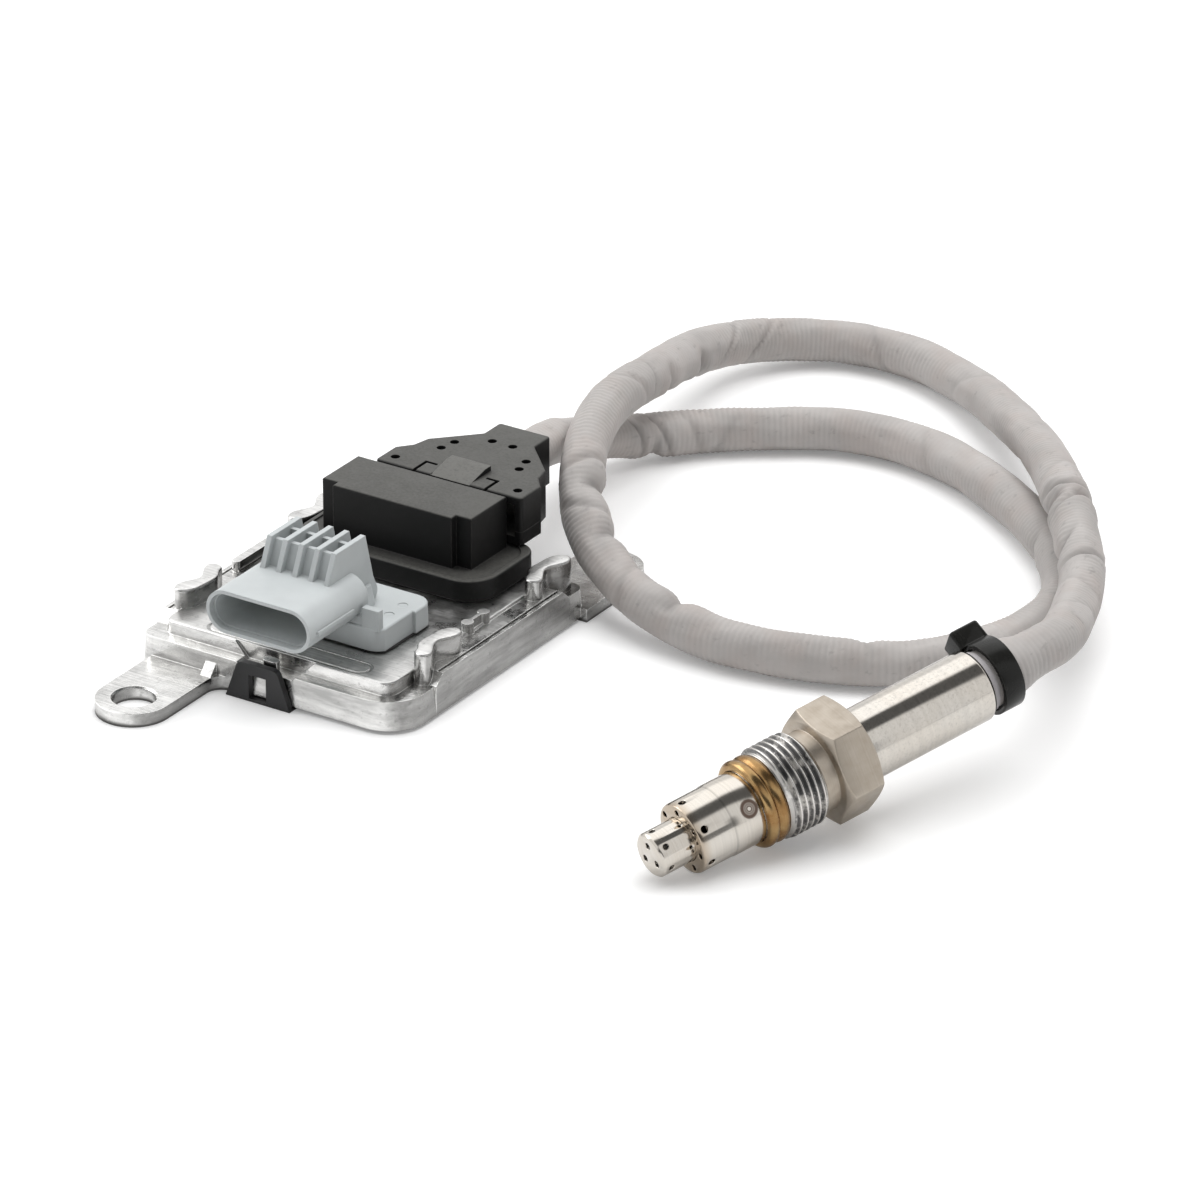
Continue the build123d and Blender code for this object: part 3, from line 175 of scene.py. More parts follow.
# Streaks and specks, in cells for each metre along x, y and z
STREAKS_ALONG_X = (55.0, 300.0, 400.0)
STREAKS_ALONG_Y = (300.0, 48.0, 380.0)
BRUSHED_TOP = (70.0, 1500.0, 300.0)
CAST_SPECKS = (700.0, 700.0, 1000.0)
CONDUIT_MARKS = (500.0, 260.0, 700.0)

# Colours of stains, heat, rubbed metal and the conduit's warm patches, and of painted light and shade: the
# worn edges' highlight, the shade in corners, on walls and on the thread's flanks, and the highlight on its
# crests
WORN_EDGE_HIGHLIGHT = (0.95, 0.95, 0.93)
CORNER_SHADE = (0.06, 0.058, 0.055)
WALL_SHADE = (0.07, 0.068, 0.065)
WELD_BROWN = (0.085, 0.05, 0.035)
HEAT_BROWN = (0.36, 0.26, 0.16)
CREST_HIGHLIGHT = (0.62, 0.60, 0.57)
SCRAPED_METAL = (0.72, 0.70, 0.67)
FLANK_SHADE = (0.10, 0.10, 0.105)
FLANK_PALE_SHADE = (0.27, 0.265, 0.26)
CONDUIT_WARM = (0.44, 0.37, 0.34)

# Merging of the frame's loose triangles, and the edges: how sharp one is that is rounded, and its radius
MERGE_DISTANCE = 0.002 * mm
FLAT_ANGLE = radians(1.0)
SHARP_ANGLE = radians(30)
HEXAGON_ANGLE = radians(25)
THREAD_ANGLE = radians(32)
SHADED_RADIUS = 0.25 * mm
TUBE_EDGE = 0.08 * mm
RING_EDGE = 0.1 * mm
TIE_EDGE = 0.2 * mm
SCREW_EDGE = 0.2 * mm

# Studio: softboxes, the room that metal mirrors, the floor and the camera
TOP_BOX_PLACE = (0.1, 0.35, 1.2)
TOP_BOX_SIZE = 1.3
LEFT_BOX_PLACE = (-1.1, -0.3, 0.7)
LEFT_BOX_SIZE = 0.8
STUDIO_RIGHT = (0.924, -0.383, 0.0)
STUDIO_BACK = (0.543, -0.840, 0.0)
DARK_LEVEL = 0.12
RIGHT_WALL_LEVEL = 0.93
BOX_LEVEL = 0.6
FLOOR_COLOUR = (0.90, 0.90, 0.90)
FLOOR_SIZE = 6.0
FLOOR_DROP = 0.05 * mm
FLOOR_GLOW = 0.18
FLOOR_MIRRORED = 0.05
SENSOR_WIDTH = 36.0
CLIP_START = 0.05


class ConduitSettings(PropertyGroup):
    """Size and surface of the ribbed conduit."""

    diameter: FloatProperty(
        name="Diameter", description="Outside diameter over the ribs", default=10.5 * mm, unit="LENGTH")
    length: FloatProperty(
        name="Length", description="Length from the plug to the probe", default=705 * mm, unit="LENGTH")
    rib_pitch: FloatProperty(
        name="Rib pitch", description="Distance from rib to rib", default=1.3 * mm, unit="LENGTH")
    rib_height: FloatProperty(
        name="Rib height", description="Height of a rib over its groove", default=0.16 * mm, unit="LENGTH")
    segments: IntProperty(
        name="Segments", description="Faces round the conduit", default=36, min=12)
    wrinkle: FloatProperty(
        name="Wrinkle", description="Depth of the soft dents along it", default=0.75 * mm, unit="LENGTH")
    colour: FloatVectorProperty(
        name="Colour", description="Colour of the sleeve", default=(0.485, 0.46, 0.445),
        subtype="COLOR", min=0, max=1)


class HousingSettings(PropertyGroup):
    """Finish of the cast housing."""

    colour: FloatVectorProperty(
        name="Colour", description="Colour of the cast metal", default=(0.84, 0.835, 0.82),
        subtype="COLOR", min=0, max=1)
    # The bright worn edges are wear with a painted highlight on them
    edge_width: FloatProperty(
        name="Edge width", description="Width of the bright worn edges", default=0.40 * mm, unit="LENGTH")
    rounding: FloatProperty(
        name="Rounding", description="Radius on the cast edges", default=0.22 * mm, unit="LENGTH")


class PlasticSettings(PropertyGroup):
    """Finish of the moulded connectors and the plug."""

    grey: FloatVectorProperty(
        name="Grey", description="Colour of the vehicle connector", default=(0.535, 0.565, 0.57),
        subtype="COLOR", min=0, max=1)
    black: FloatVectorProperty(
        name="Black", description="Colour of the header and plug", default=(0.008, 0.008, 0.008),
        subtype="COLOR", min=0, max=1)
    # Colour of the upper faces: a dusty film and a painted sheen of light
    dust_and_sheen: FloatVectorProperty(
        name="Dust", description="Haze on the black parts' upper faces", default=(0.088, 0.087, 0.081),
        subtype="COLOR", min=0, max=1)


class ProbeSettings(PropertyGroup):
    """Thread and metals of the probe."""

    thread_start: FloatProperty(
        name="Thread start", description="Station of the thread's front", default=28.0 * mm, unit="LENGTH")
    thread_length: FloatProperty(
        name="Thread length", description="Length of the thread", default=9.5 * mm, unit="LENGTH")
    thread_radius: FloatProperty(
        name="Thread radius", description="Outside radius of the thread", default=10.0 * mm, unit="LENGTH")
    thread_pitch: FloatProperty(
        name="Thread pitch", description="Pitch of the thread", default=1.5 * mm, unit="LENGTH")
    thread_depth: FloatProperty(
        name="Thread depth", description="Depth of the thread", default=0.9 * mm, unit="LENGTH")
    bore_radius: FloatProperty(
        name="Bore radius", description="Radius of the screw's bore", default=7.76 * mm, unit="LENGTH")
    steel: FloatVectorProperty(
        name="Steel", description="Colour of the polished steel", default=(0.62, 0.59, 0.545),
        subtype="COLOR", min=0, max=1)
    screw_steel: FloatVectorProperty(
        name="Screw steel", description="Colour of the union screw", default=(0.46, 0.41, 0.35),
        subtype="COLOR", min=0, max=1)
    gold: FloatVectorProperty(
        name="Gold", description="Colour of the heat tinted seat ring", default=(0.44, 0.30, 0.14),
        subtype="COLOR", min=0, max=1)


class StageSettings(PropertyGroup):
    """Camera, floor and light."""

    azimuth: FloatProperty(
        name="Azimuth", description="Camera's turn round the sensor", default=radians(32.9), subtype="ANGLE")
    elevation: FloatProperty(
        name="Elevation", description="Camera's height angle", default=radians(26.0), subtype="ANGLE")
    distance: FloatProperty(
        name="Distance", description="Camera's distance from its target", default=1.69, unit="LENGTH")
    lens: FloatProperty(name="Lens", description="Focal length in millimetres", default=240.0)
    target: FloatVectorProperty(
        name="Target", description="Point that the camera looks at", default=(0.0285, 0.04285, 0.0),
        subtype="TRANSLATION", unit="LENGTH")
    top_light: FloatProperty(
        name="Top light", description="Power of the overhead softbox", default=14.0, unit="POWER")
    side_light: FloatProperty(
        name="Side light", description="Power of the side softbox", default=5.0, unit="POWER")
    world_light: FloatProperty(
        name="World light", description="Strength of the surrounding light", default=0.55)


# Selection and meshes


def deselect():
    """Leave edit mode and select nothing."""
    if bpy.context.object and bpy.context.object.mode != "OBJECT":
        bpy.ops.object.mode_set(mode="OBJECT")
    bpy.ops.object.select_all(action="DESELECT")


def pick(obj):
    """Make an object the only one selected, and the active one."""
    deselect()
    obj.select_set(True)
    bpy.context.view_layer.objects.active = obj


def edit_all(obj):
    """Open an object in edit mode with its whole mesh selected."""
    pick(obj)
    bpy.ops.object.mode_set(mode="EDIT")
    bpy.ops.mesh.select_all(action="SELECT")


def settle(obj):
    """Bring an object's place into its mesh."""
    pick(obj)
    bpy.ops.object.transform_apply(location=True, rotation=True, scale=True)


def set_finish(obj, finish):
    """Give an object one material, by its name."""
    obj.data.materials.clear()
    obj.data.materials.append(bpy.data.materials[finish])


def fit_out(obj, name, finish, slot, body, *replaced):
    """Name a finished piece, dress it and let it ride."""
    obj.name = name
    obj.data.name = name
    set_finish(obj, finish)
    if replaced:
        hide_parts(*replaced)
    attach(obj, body)
    return obj


def merged_copy(node, name):
    """Copy a frame node's mesh, merge its loose triangles and dissolve its flat seams."""
    pick(nodes[node])
    bpy.ops.object.duplicate()
    piece = bpy.context.object
    piece.name = name
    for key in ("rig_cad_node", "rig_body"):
        if key in piece:
            del piece[key]
    piece.parent = None
    piece.matrix_world = Matrix.Identity(4)
    if piece.data.users > 1:
        piece.data = piece.data.copy()
    edit_all(piece)
    bpy.ops.mesh.remove_doubles(threshold=MERGE_DISTANCE)
    bpy.ops.mesh.dissolve_limited(angle_limit=FLAT_ANGLE)
    bpy.ops.object.mode_set(mode="OBJECT")
    bpy.ops.mesh.customdata_custom_splitnormals_clear()
    return piece


def soften(piece, width, crease=SHARP_ANGLE):
    """Round the sharp edges of a piece, if a width is given, and shade it smooth up to a crease angle."""
    pick(piece)
    if width:
        bevel = piece.modifiers.new("Bevel", "BEVEL")
        bevel.width = width
        bevel.segments = 2
        bevel.limit_method = "ANGLE"
        bevel.angle_limit = crease
        bevel.miter_outer = "MITER_SHARP"
        bpy.ops.object.modifier_apply(modifier=bevel.name)
    bpy.ops.object.shade_smooth_by_angle(angle=crease)


def dress(node, name, finish, slot, width=0.0):
    """Make a finished piece of the sensor's body from a node's mesh."""
    piece = merged_copy(node, name)
    soften(piece, width)
    return fit_out(piece, name, finish, slot, BODY, node)


def mesh_object(name, vertices, faces, **attributes):
    """Make an object from points and faces, with a number at each point for each attribute."""
    mesh = bpy.data.meshes.new(name)
    mesh.from_pydata(vertices, [], faces)
    for attribute, values in attributes.items():
        mesh.attributes.new(attribute, "FLOAT", "POINT").data.foreach_set("value", values)
    obj = bpy.data.objects.new(name, mesh)
    bpy.context.scene.collection.objects.link(obj)
    return obj


def rows_of_faces(rows, wide, closed):
    """Faces between rows of points. Closed rows are rings."""
    faces = []
    for row in range(rows - 1):
        for step in range(wide if closed else wide - 1):
            a = row * wide + step
            b = row * wide + (step + 1) % wide
            faces.append((a, b, b + wide, a + wide))
    return faces


def probe_point(station, angle, reach):
    """A point at a station of the probe's axis, at a distance from it and turned round it."""
    way = probe_side * cos(angle) + probe_top * sin(angle)
    return probe_tip + probe_dir * station + way * reach


# Building blocks of the materials


def new_group(name, inputs, *outputs):
    """Start a shader node group with numbers going in and out."""
    group = bpy.data.node_groups.new(name, "ShaderNodeTree")
    for socket, value in inputs.items():
        group.interface.new_socket(socket, in_out="INPUT", socket_type="NodeSocketFloat").default_value = value
    for socket in outputs:
        group.interface.new_socket(socket, in_out="OUTPUT", socket_type="NodeSocketFloat")
    return group, group.nodes.new("NodeGroupInput"), group.nodes.new("NodeGroupOutput")


def feed(tree, value, socket):
    """Link an output to an input, or set the input to a number, a vector or a colour."""
    if isinstance(value, bpy.types.NodeSocket):
        tree.links.new(value, socket)
    elif socket.type == "RGBA":
        socket.default_value = (*value[:3], 1.0)
    else:
        socket.default_value = value


def math_node(tree, operation, first, second=None, clamp=False):
    """Add a Math node and return its output."""
    node = tree.nodes.new("ShaderNodeMath")
    node.operation = operation
    node.use_clamp = clamp
    feed(tree, first, node.inputs[0])
    if second is not None:
        feed(tree, second, node.inputs[1])
    return node.outputs[0]


def product(tree, first, second):
    """Multiply two values."""
    return math_node(tree, "MULTIPLY", first, second)


def total_of(tree, first, second):
    """Add two values."""
    return math_node(tree, "ADD", first, second)


def distance_of(tree, first, second):
    """How far apart two values are."""
    return math_node(tree, "ABSOLUTE", math_node(tree, "SUBTRACT", first, second))


def vector_value(tree, operation, vector, other):
    """Add a Vector Math node that puts out a number."""
    node = tree.nodes.new("ShaderNodeVectorMath")
    node.operation = operation
    feed(tree, vector, node.inputs[0])
    feed(tree, other, node.inputs[1])
    return node.outputs["Value"]


def object_place(tree):
    """The point on the object, at which its patterns are read."""
    return tree.nodes.new("ShaderNodeTexCoord").outputs["Object"]


def split_vector(tree, vector):
    """The X, Y and Z of a vector."""
    node = tree.nodes.new("ShaderNodeSeparateXYZ")
    tree.links.new(vector, node.inputs[0])
    return node.outputs


def facing_way(tree):
    """The X, Y and Z of the surface's own normal."""
    return split_vector(tree, tree.nodes.new("ShaderNodeNewGeometry").outputs["Normal"])


def attribute_value(tree, name):
    """A number that the mesh holds at each point."""
    node = tree.nodes.new("ShaderNodeAttribute")
    node.attribute_name = name
    return node.outputs["Fac"]


def noise_node(tree, vector, scale, detail=3.0, roughness=0.5):
    """Add a Noise Texture read at a vector, and return its factor."""
    node = tree.nodes.new("ShaderNodeTexNoise")
    for name, value in (("Vector", vector), ("Scale", scale), ("Detail", detail), ("Roughness", roughness)):
        feed(tree, value, node.inputs[name])
    return node.outputs["Fac"]


def streaks(tree, vector, stretch, scale=1.0, detail=4.0, roughness=0.62):
    """Noise that is stretched by its own scale along each axis."""
    node = tree.nodes.new("ShaderNodeMapping")
    node.inputs["Scale"].default_value = stretch
    tree.links.new(vector, node.inputs["Vector"])
    return noise_node(tree, node.outputs[0], scale, detail, roughness)


def spread(tree, value, low, high, new_low, new_high):
    """Map a value from one range to another, clamped."""
    node = tree.nodes.new("ShaderNodeMapRange")
    for name, number in (("Value", value), ("From Min", low), ("From Max", high),
                         ("To Min", new_low), ("To Max", new_high)):
        feed(tree, number, node.inputs[name])
    return node.outputs[0]


def blend_value(tree, factor, first, second):
    """Mix two values by a factor."""
    node = tree.nodes.new("ShaderNodeMix")
    node.data_type = "FLOAT"
    for index, value in ((0, factor), (2, first), (3, second)):
        feed(tree, value, node.inputs[index])
    return node.outputs[0]


def blend_colour(tree, factor, first, second):
    """Mix two colours by a factor."""
    node = tree.nodes.new("ShaderNodeMix")
    node.data_type = "RGBA"
    for index, value in ((0, factor), (6, first), (7, second)):
        feed(tree, value, node.inputs[index])
    return node.outputs[2]


def overlay(tree, tone, colour, mask, amount=1.0):
    """Lay a colour over a tone by an amount of a mask."""
    if amount != 1.0:
        mask = product(tree, mask, amount)
    return blend_colour(tree, mask, tone, colour)


def shade(colour, factor):
    """Darken or lighten a colour."""
    return tuple(min(1.0, c * factor) for c in colour[:3])


# Shared shader groups


def make_worn_edge_and_highlight_group():
    """Mask of the outer edges, for wear and a painted highlight, broken up by noise."""
    group, entry, leave = new_group("Worn Edge And Highlight", {"Width": 0.5 * mm, "Break Scale": 600.0}, "Mask")
    bevel = group.nodes.new("ShaderNodeBevel")
    bevel.samples = 6
    group.links.new(entry.outputs["Width"], bevel.inputs["Radius"])
    normal = group.nodes.new("ShaderNodeNewGeometry").outputs["Normal"]
    edge = spread(group, vector_value(group, "DOT_PRODUCT", bevel.outputs[0], normal), 0.999, 0.94, 0.0, 1.0)
    breaks = noise_node(group, object_place(group), entry.outputs["Break Scale"], 4.0)
    group.links.new(product(group, edge, spread(group, breaks, 0.35, 0.62, 0.35, 1.0)), leave.inputs["Mask"])


def make_grain_group():
    """Two scales of grain: a tone that varies slowly and a height for fine bump."""
    group, entry, leave = new_group("Grain", {"Coarse": 60.0, "Fine": 2500.0}, "Tone", "Height")
    where = object_place(group)
    tone = spread(group, noise_node(group, where, entry.outputs["Coarse"], 5.0, 0.6), 0.3, 0.7, 0.0, 1.0)
    group.links.new(tone, leave.inputs["Tone"])
    group.links.new(noise_node(group, where, entry.outputs["Fine"], 2.0), leave.inputs["Height"])


def make_turned_group():
    """Fine lathe lines round the probe's axis: they vary only along it."""
    group, entry, leave = new_group("Turned Lines", {"Scale": 3000.0}, "Lines")
    lines = group.nodes.new("ShaderNodeTexNoise")
    lines.noise_dimensions = "1D"
    lines.inputs["Detail"].default_value = 4.0
    along = vector_value(group, "DOT_PRODUCT", object_place(group), probe_dir)
    group.links.new(along, lines.inputs["W"])
    group.links.new(entry.outputs["Scale"], lines.inputs["Scale"])
    group.links.new(lines.outputs["Fac"], leave.inputs["Lines"])


def panel_outline(group, place):
    """Mask of the fine outline of the long panel: a line at one distance from its middle run."""
    half_run = (PANEL_LENGTH - PANEL_WIDTH) / 2
    from_middle = distance_of(group, place["X"], PANEL_X)
    past_end = math_node(group, "MAXIMUM", math_node(group, "SUBTRACT", from_middle, half_run), 0.0)
    aside = math_node(group, "SUBTRACT", place["Y"], PANEL_Y)
    squares = total_of(group, product(group, past_end, past_end), product(group, aside, aside))
    off_line = distance_of(group, math_node(group, "SQRT", squares), PANEL_WIDTH / 2)
    return spread(group, off_line, *PANEL_LINE, 1.0, 0.0)


def make_flow_group():
    """Streaks that a casting keeps from its mould: lengthwise on each wall, brushed across the top."""
    group, entry, leave = new_group(
        "Casting Flow", {"Fine": 1.0}, "Streak", "Relief", "Blotch", "Specks", "Panel", "Shade", "Satin")
    where = object_place(group)
    place = split_vector(group, where)
    facing = facing_way(group)
    side = spread(group, math_node(group, "ABSOLUTE", facing["X"]), 0.35, 0.65, 0.0, 1.0)
    top = spread(group, math_node(group, "ABSOLUTE", facing["Z"]), 0.55, 0.80, 0.0, 1.0)
    fine = entry.outputs["Fine"]
    along_y = streaks(group, where, STREAKS_ALONG_Y, fine)
    along_x = streaks(group, where, STREAKS_ALONG_X, fine)
    brushed = streaks(group, where, BRUSHED_TOP, fine, roughness=0.6)
    blotch = noise_node(group, where, 130.0, 5.0, 0.62)
    walls = blend_value(group, side, along_x, along_y)
    tops = blend_value(group, 0.55, brushed, blotch)
    wavy = noise_node(group, where, 240.0)
    pits = spread(group, noise_node(group, where, 900.0, 3.0, 0.7), 0.30, 0.62, 0.0, 1.0)
    relief = total_of(group, wavy, product(group, pits, 0.12))
    specks = streaks(group, where, CAST_SPECKS, detail=3.0, roughness=0.65)
    satin = spread(group, place["Z"], *SATIN_HEIGHT, 0.0, 1.0)
    # Painted shade: the long right walls are darkened, and the foot of every wall is darkened as a painted
    # contact shadow
    right_wall_shade = spread(group, facing["X"], 0.45, 0.75, 0.0, 0.60)
    foot = spread(group, place["Z"], *FOOT_HEIGHT, 0.9, 0.0)
    for name, value in (
            ("Streak", blend_value(group, top, walls, tops)),
            ("Relief", total_of(group, relief, product(group, walls, 0.25))),
            ("Blotch", blotch),
            ("Specks", spread(group, specks, 0.60, 0.70, 0.0, 1.0)),
            ("Panel", product(group, panel_outline(group, place), top)),
            ("Satin", product(group, satin, top)),
            ("Shade", math_node(group, "MAXIMUM", right_wall_shade, foot))):
        group.links.new(value, leave.inputs[name])


def make_crevice_shade_group():
    """Mask of the corners and narrow places, where painted shade is laid."""
    group, entry, leave = new_group("Crevice Shade", {"Reach": 2.5 * mm}, "Mask")
    near = group.nodes.new("ShaderNodeAmbientOcclusion")
    near.samples = 8
    group.links.new(entry.outputs["Reach"], near.inputs["Distance"])
    group.links.new(spread(group, near.outputs["AO"], 0.45, 0.92, 1.0, 0.0), leave.inputs["Mask"])


def make_dust_and_sheen_group():
    """Mask of the upper faces, for a dusty film and a painted sheen, with fine speckle and soft wiped patches.
    """
    group, entry, leave = new_group("Dust And Sheen", {"Speckle Scale": 1400.0}, "Mask")
    upper = spread(group, facing_way(group)["Z"], 0.45, 0.97, 0.0, 1.0)
    where = object_place(group)
    speckle = noise_node(group, where, entry.outputs["Speckle Scale"], 3.0, 0.7)
    speckle = spread(group, speckle, 0.3, 0.7, 0.72, 1.2)
    wiped = spread(group, noise_node(group, where, 55.0), 0.3, 0.7, 0.82, 1.08)
    group.links.new(product(group, upper, product(group, speckle, wiped)), leave.inputs["Mask"])


# Materials


def start_material(name):
    """Make a material and return its tree and its Principled shader."""
    material = bpy.data.materials.new(name)
    material.use_nodes = True
    tree = material.node_tree
    return tree, tree.nodes["Principled BSDF"]


def use_group(tree, name, **values):
    """Place a shared group in a material with its own values, and return its outputs."""
    node = tree.nodes.new("ShaderNodeGroup")
    node.node_tree = bpy.data.node_groups[name]
    for socket, value in values.items():
        node.inputs[socket.replace("_", " ")].default_value = value
    return node.outputs


def add_bump(tree, shader, height, strength, distance, rounding=SHADED_RADIUS):
    """Feed a height into the shader's normal, over edges that are rounded in their shading."""
    bevel = tree.nodes.new("ShaderNodeBevel")
    bevel.samples = 8
    bevel.inputs["Radius"].default_value = rounding
    bump = tree.nodes.new("ShaderNodeBump")
    bump.inputs["Strength"].default_value = strength
    bump.inputs["Distance"].default_value = distance
    tree.links.new(bevel.outputs[0], bump.inputs["Normal"])
    tree.links.new(height, bump.inputs["Height"])
    tree.links.new(bump.outputs[0], shader.inputs["Normal"])


def cast_metal(settings):
    """Bare die-cast metal: streaked walls, a satin top, painted shade in its corners, on its right walls and
    low on every wall, and bright worn edges with a painted highlight.
    """
    tree, shader = start_material("Cast Metal")
    flow = use_group(tree, "Casting Flow")
    grain = use_group(tree, "Grain", Coarse=420.0, Fine=1800.0)
    edge = use_group(tree, "Worn Edge And Highlight", Width=settings.edge_width)
    crevice_shade = use_group(tree, "Crevice Shade", Reach=2.2 * mm)
    colour = settings.colour
    tone = blend_colour(tree, spread(tree, flow["Streak"], 0.34, 0.62, 0.0, 1.0),
                        shade(colour, 0.58), shade(colour, 1.08))
    tone = overlay(tree, tone, shade(colour, 0.45), spread(tree, grain["Tone"], 0.0, 1.0, 0.0, 0.22))
    tone = overlay(tree, tone, shade(colour, 0.18), flow["Specks"], 0.34)
    tone = overlay(tree, tone, shade(colour, 0.24), flow["Panel"], 0.88)
    # Painted shade: corners and narrow places darkened where ambient occlusion finds them
    tone = overlay(tree, tone, CORNER_SHADE, crevice_shade["Mask"], 0.22)
    # Worn edges painted near white: wear and a painted edge highlight
    tone = overlay(tree, tone, WORN_EDGE_HIGHLIGHT, edge["Mask"])
    # Painted shade on the right walls and a painted contact shadow at the foot of every wall
    tone = overlay(tree, tone, WALL_SHADE, flow["Shade"])
    rough = spread(tree, flow["Blotch"], 0.35, 0.65, 0.13, 0.32)
    rough = total_of(tree, rough, product(tree, flow["Satin"], 0.13))
    tree.links.new(tone, shader.inputs["Base Color"])
    tree.links.new(rough, shader.inputs["Roughness"])
    shader.inputs["Metallic"].default_value = 1.0
    height = total_of(tree, flow["Relief"], product(tree, grain["Height"], 0.06))
    add_bump(tree, shader, height, 0.42, 0.24 * mm, settings.rounding)


def moulded_plastic(name, colour, rough):
    """Moulded plastic with a fine spark texture, painted shade in its corners and slightly paler edges, worn
    and with a painted highlight.
    """
    tree, shader = start_material(name)
    grain = use_group(tree, "Grain", Coarse=80.0, Fine=3000.0)
    edge = use_group(tree, "Worn Edge And Highlight", Width=0.3 * mm, Break_Scale=900.0)
    crevice_shade = use_group(tree, "Crevice Shade", Reach=2.0 * mm)
    tone = blend_colour(tree, grain["Tone"], shade(colour, 0.93), shade(colour, 1.05))
    # Edges painted paler: wear and a painted highlight
    tone = overlay(tree, tone, shade(colour, 1.3), edge["Mask"], 0.30)
    # Painted shade: corners and narrow places darkened
    tone = overlay(tree, tone, shade(colour, 0.45), crevice_shade["Mask"], 0.45)
    tree.links.new(tone, shader.inputs["Base Color"])
    tree.links.new(spread(tree, grain["Tone"], 0, 1, rough + 0.05, rough - 0.05), shader.inputs["Roughness"])
    add_bump(tree, shader, grain["Height"], 0.15, 0.03 * mm)


def dusty_sheened_plastic(name, colour, sheen_and_dust_colour, rough=0.45, dust_and_sheen_amount=1.0):
    """Black spark-eroded plastic whose upper faces carry a warm dusty film with a painted sheen, thinned by
    painted shade in the corners, and whose edges are rubbed and painted paler as a highlight.
    """
    tree, shader = start_material(name)
    dust_and_sheen = use_group(tree, "Dust And Sheen")
    grain = use_group(tree, "Grain", Coarse=300.0, Fine=2600.0)
    edge = use_group(tree, "Worn Edge And Highlight", Width=0.28 * mm, Break_Scale=900.0)
    crevice_shade = use_group(tree, "Crevice Shade", Reach=6.0 * mm)
    # Painted shade: the film and the painted sheen are thinned in corners and narrow places
    dust_and_sheen_outside_shade = spread(tree, crevice_shade["Mask"], 0.0, 1.0, dust_and_sheen_amount, 0.25 * dust_and_sheen_amount)
    tone = blend_colour(tree, product(tree, dust_and_sheen["Mask"], dust_and_sheen_outside_shade), colour, sheen_and_dust_colour)
    tone = overlay(tree, tone, shade(sheen_and_dust_colour, 1.35), edge["Mask"], 0.30)
    tree.links.new(tone, shader.inputs["Base Color"])
    tree.links.new(spread(tree, grain["Tone"], 0, 1, rough + 0.07, rough - 0.07), shader.inputs["Roughness"])
    shader.inputs["Specular IOR Level"].default_value = 0.22
    add_bump(tree, shader, grain["Height"], 0.3, 0.04 * mm)


def turned_metal(name, colour, rough, lines=2600.0, bump=0.12, tint=None, tint_amount=0.0, coarse=110.0):
    """Turned or drawn metal with fine lines round the probe's axis and a cloudy tint."""
    tree, shader = start_material(name)
    grain = use_group(tree, "Grain", Coarse=coarse, Fine=3500.0)
    turned = use_group(tree, "Turned Lines", Scale=lines)
    tone = blend_colour(tree, spread(tree, turned["Lines"], 0.3, 0.7, 0.0, 0.5),
                        shade(colour, 1.05), shade(colour, 0.86))
    if tint:
        tone = overlay(tree, tone, tint, grain["Tone"], tint_amount)
    tree.links.new(tone, shader.inputs["Base Color"])
    tree.links.new(spread(tree, grain["Tone"], 0, 1, rough * 0.8, rough * 1.25), shader.inputs["Roughness"])
    shader.inputs["Metallic"].default_value = 1.0
    add_bump(tree, shader, turned["Lines"], bump, 0.02 * mm)
    return tree, shader, tone


def drawn_steel(settings):
    """Drawn sleeve: mirror bright, with a fine speckle."""
    tree, shader, tone = turned_metal(
        "Drawn Steel", settings.steel, 0.13, lines=700.0, bump=0.03, tint=(0.62, 0.54, 0.45), tint_amount=0.28)
    speckle = spread(tree, noise_node(tree, object_place(tree), 1500.0, 4.0, 0.75), 0.50, 0.72, 0.0, 0.55)
    tree.links.new(overlay(tree, tone, shade(settings.steel, 0.62), speckle), shader.inputs["Base Color"])


def tube_steel(settings):
    """Outer tube: bright, with its round weld mark, the line of its lap and its heated shoulder."""
    tree, shader, tone = turned_metal(
        "Tube Steel", settings.steel, 0.15, lines=2200.0, bump=0.08, tint=(0.60, 0.52, 0.42), tint_amount=0.3)
    where = object_place(tree)
    from_weld = vector_value(tree, "DISTANCE", where, probe_point(WELD_STATION, WELD_TURN, TUBE_RADIUS))
    ramp = tree.nodes.new("ShaderNodeValToRGB")
    tree.links.new(product(tree, from_weld, 1 / WELD_REACH), ramp.inputs[0])
    stops = ramp.color_ramp.elements
    for index, (place, level) in enumerate(WELD_RINGS):
        stop = stops[index] if index < 2 else stops.new(place)
        stop.position = place
        stop.color = (level, level, level, 1)
    tone = overlay(tree, tone, WELD_BROWN, ramp.outputs[0])
    along = vector_value(tree, "DOT_PRODUCT", where, probe_dir)
    front = probe_tip.dot(probe_dir)
    line = spread(tree, distance_of(tree, along, front + LAP_STATION), *LAP_LINE, 0.30, 0.0)
    tone = overlay(tree, tone, shade(settings.steel, 0.25), line)
    heated = spread(tree, distance_of(tree, along, front + SHOULDER_STATION), *SHOULDER_GLOW, 0.55, 0.0)
    tone = overlay(tree, tone, HEAT_BROWN, heated)
    tree.links.new(tone, shader.inputs["Base Color"])


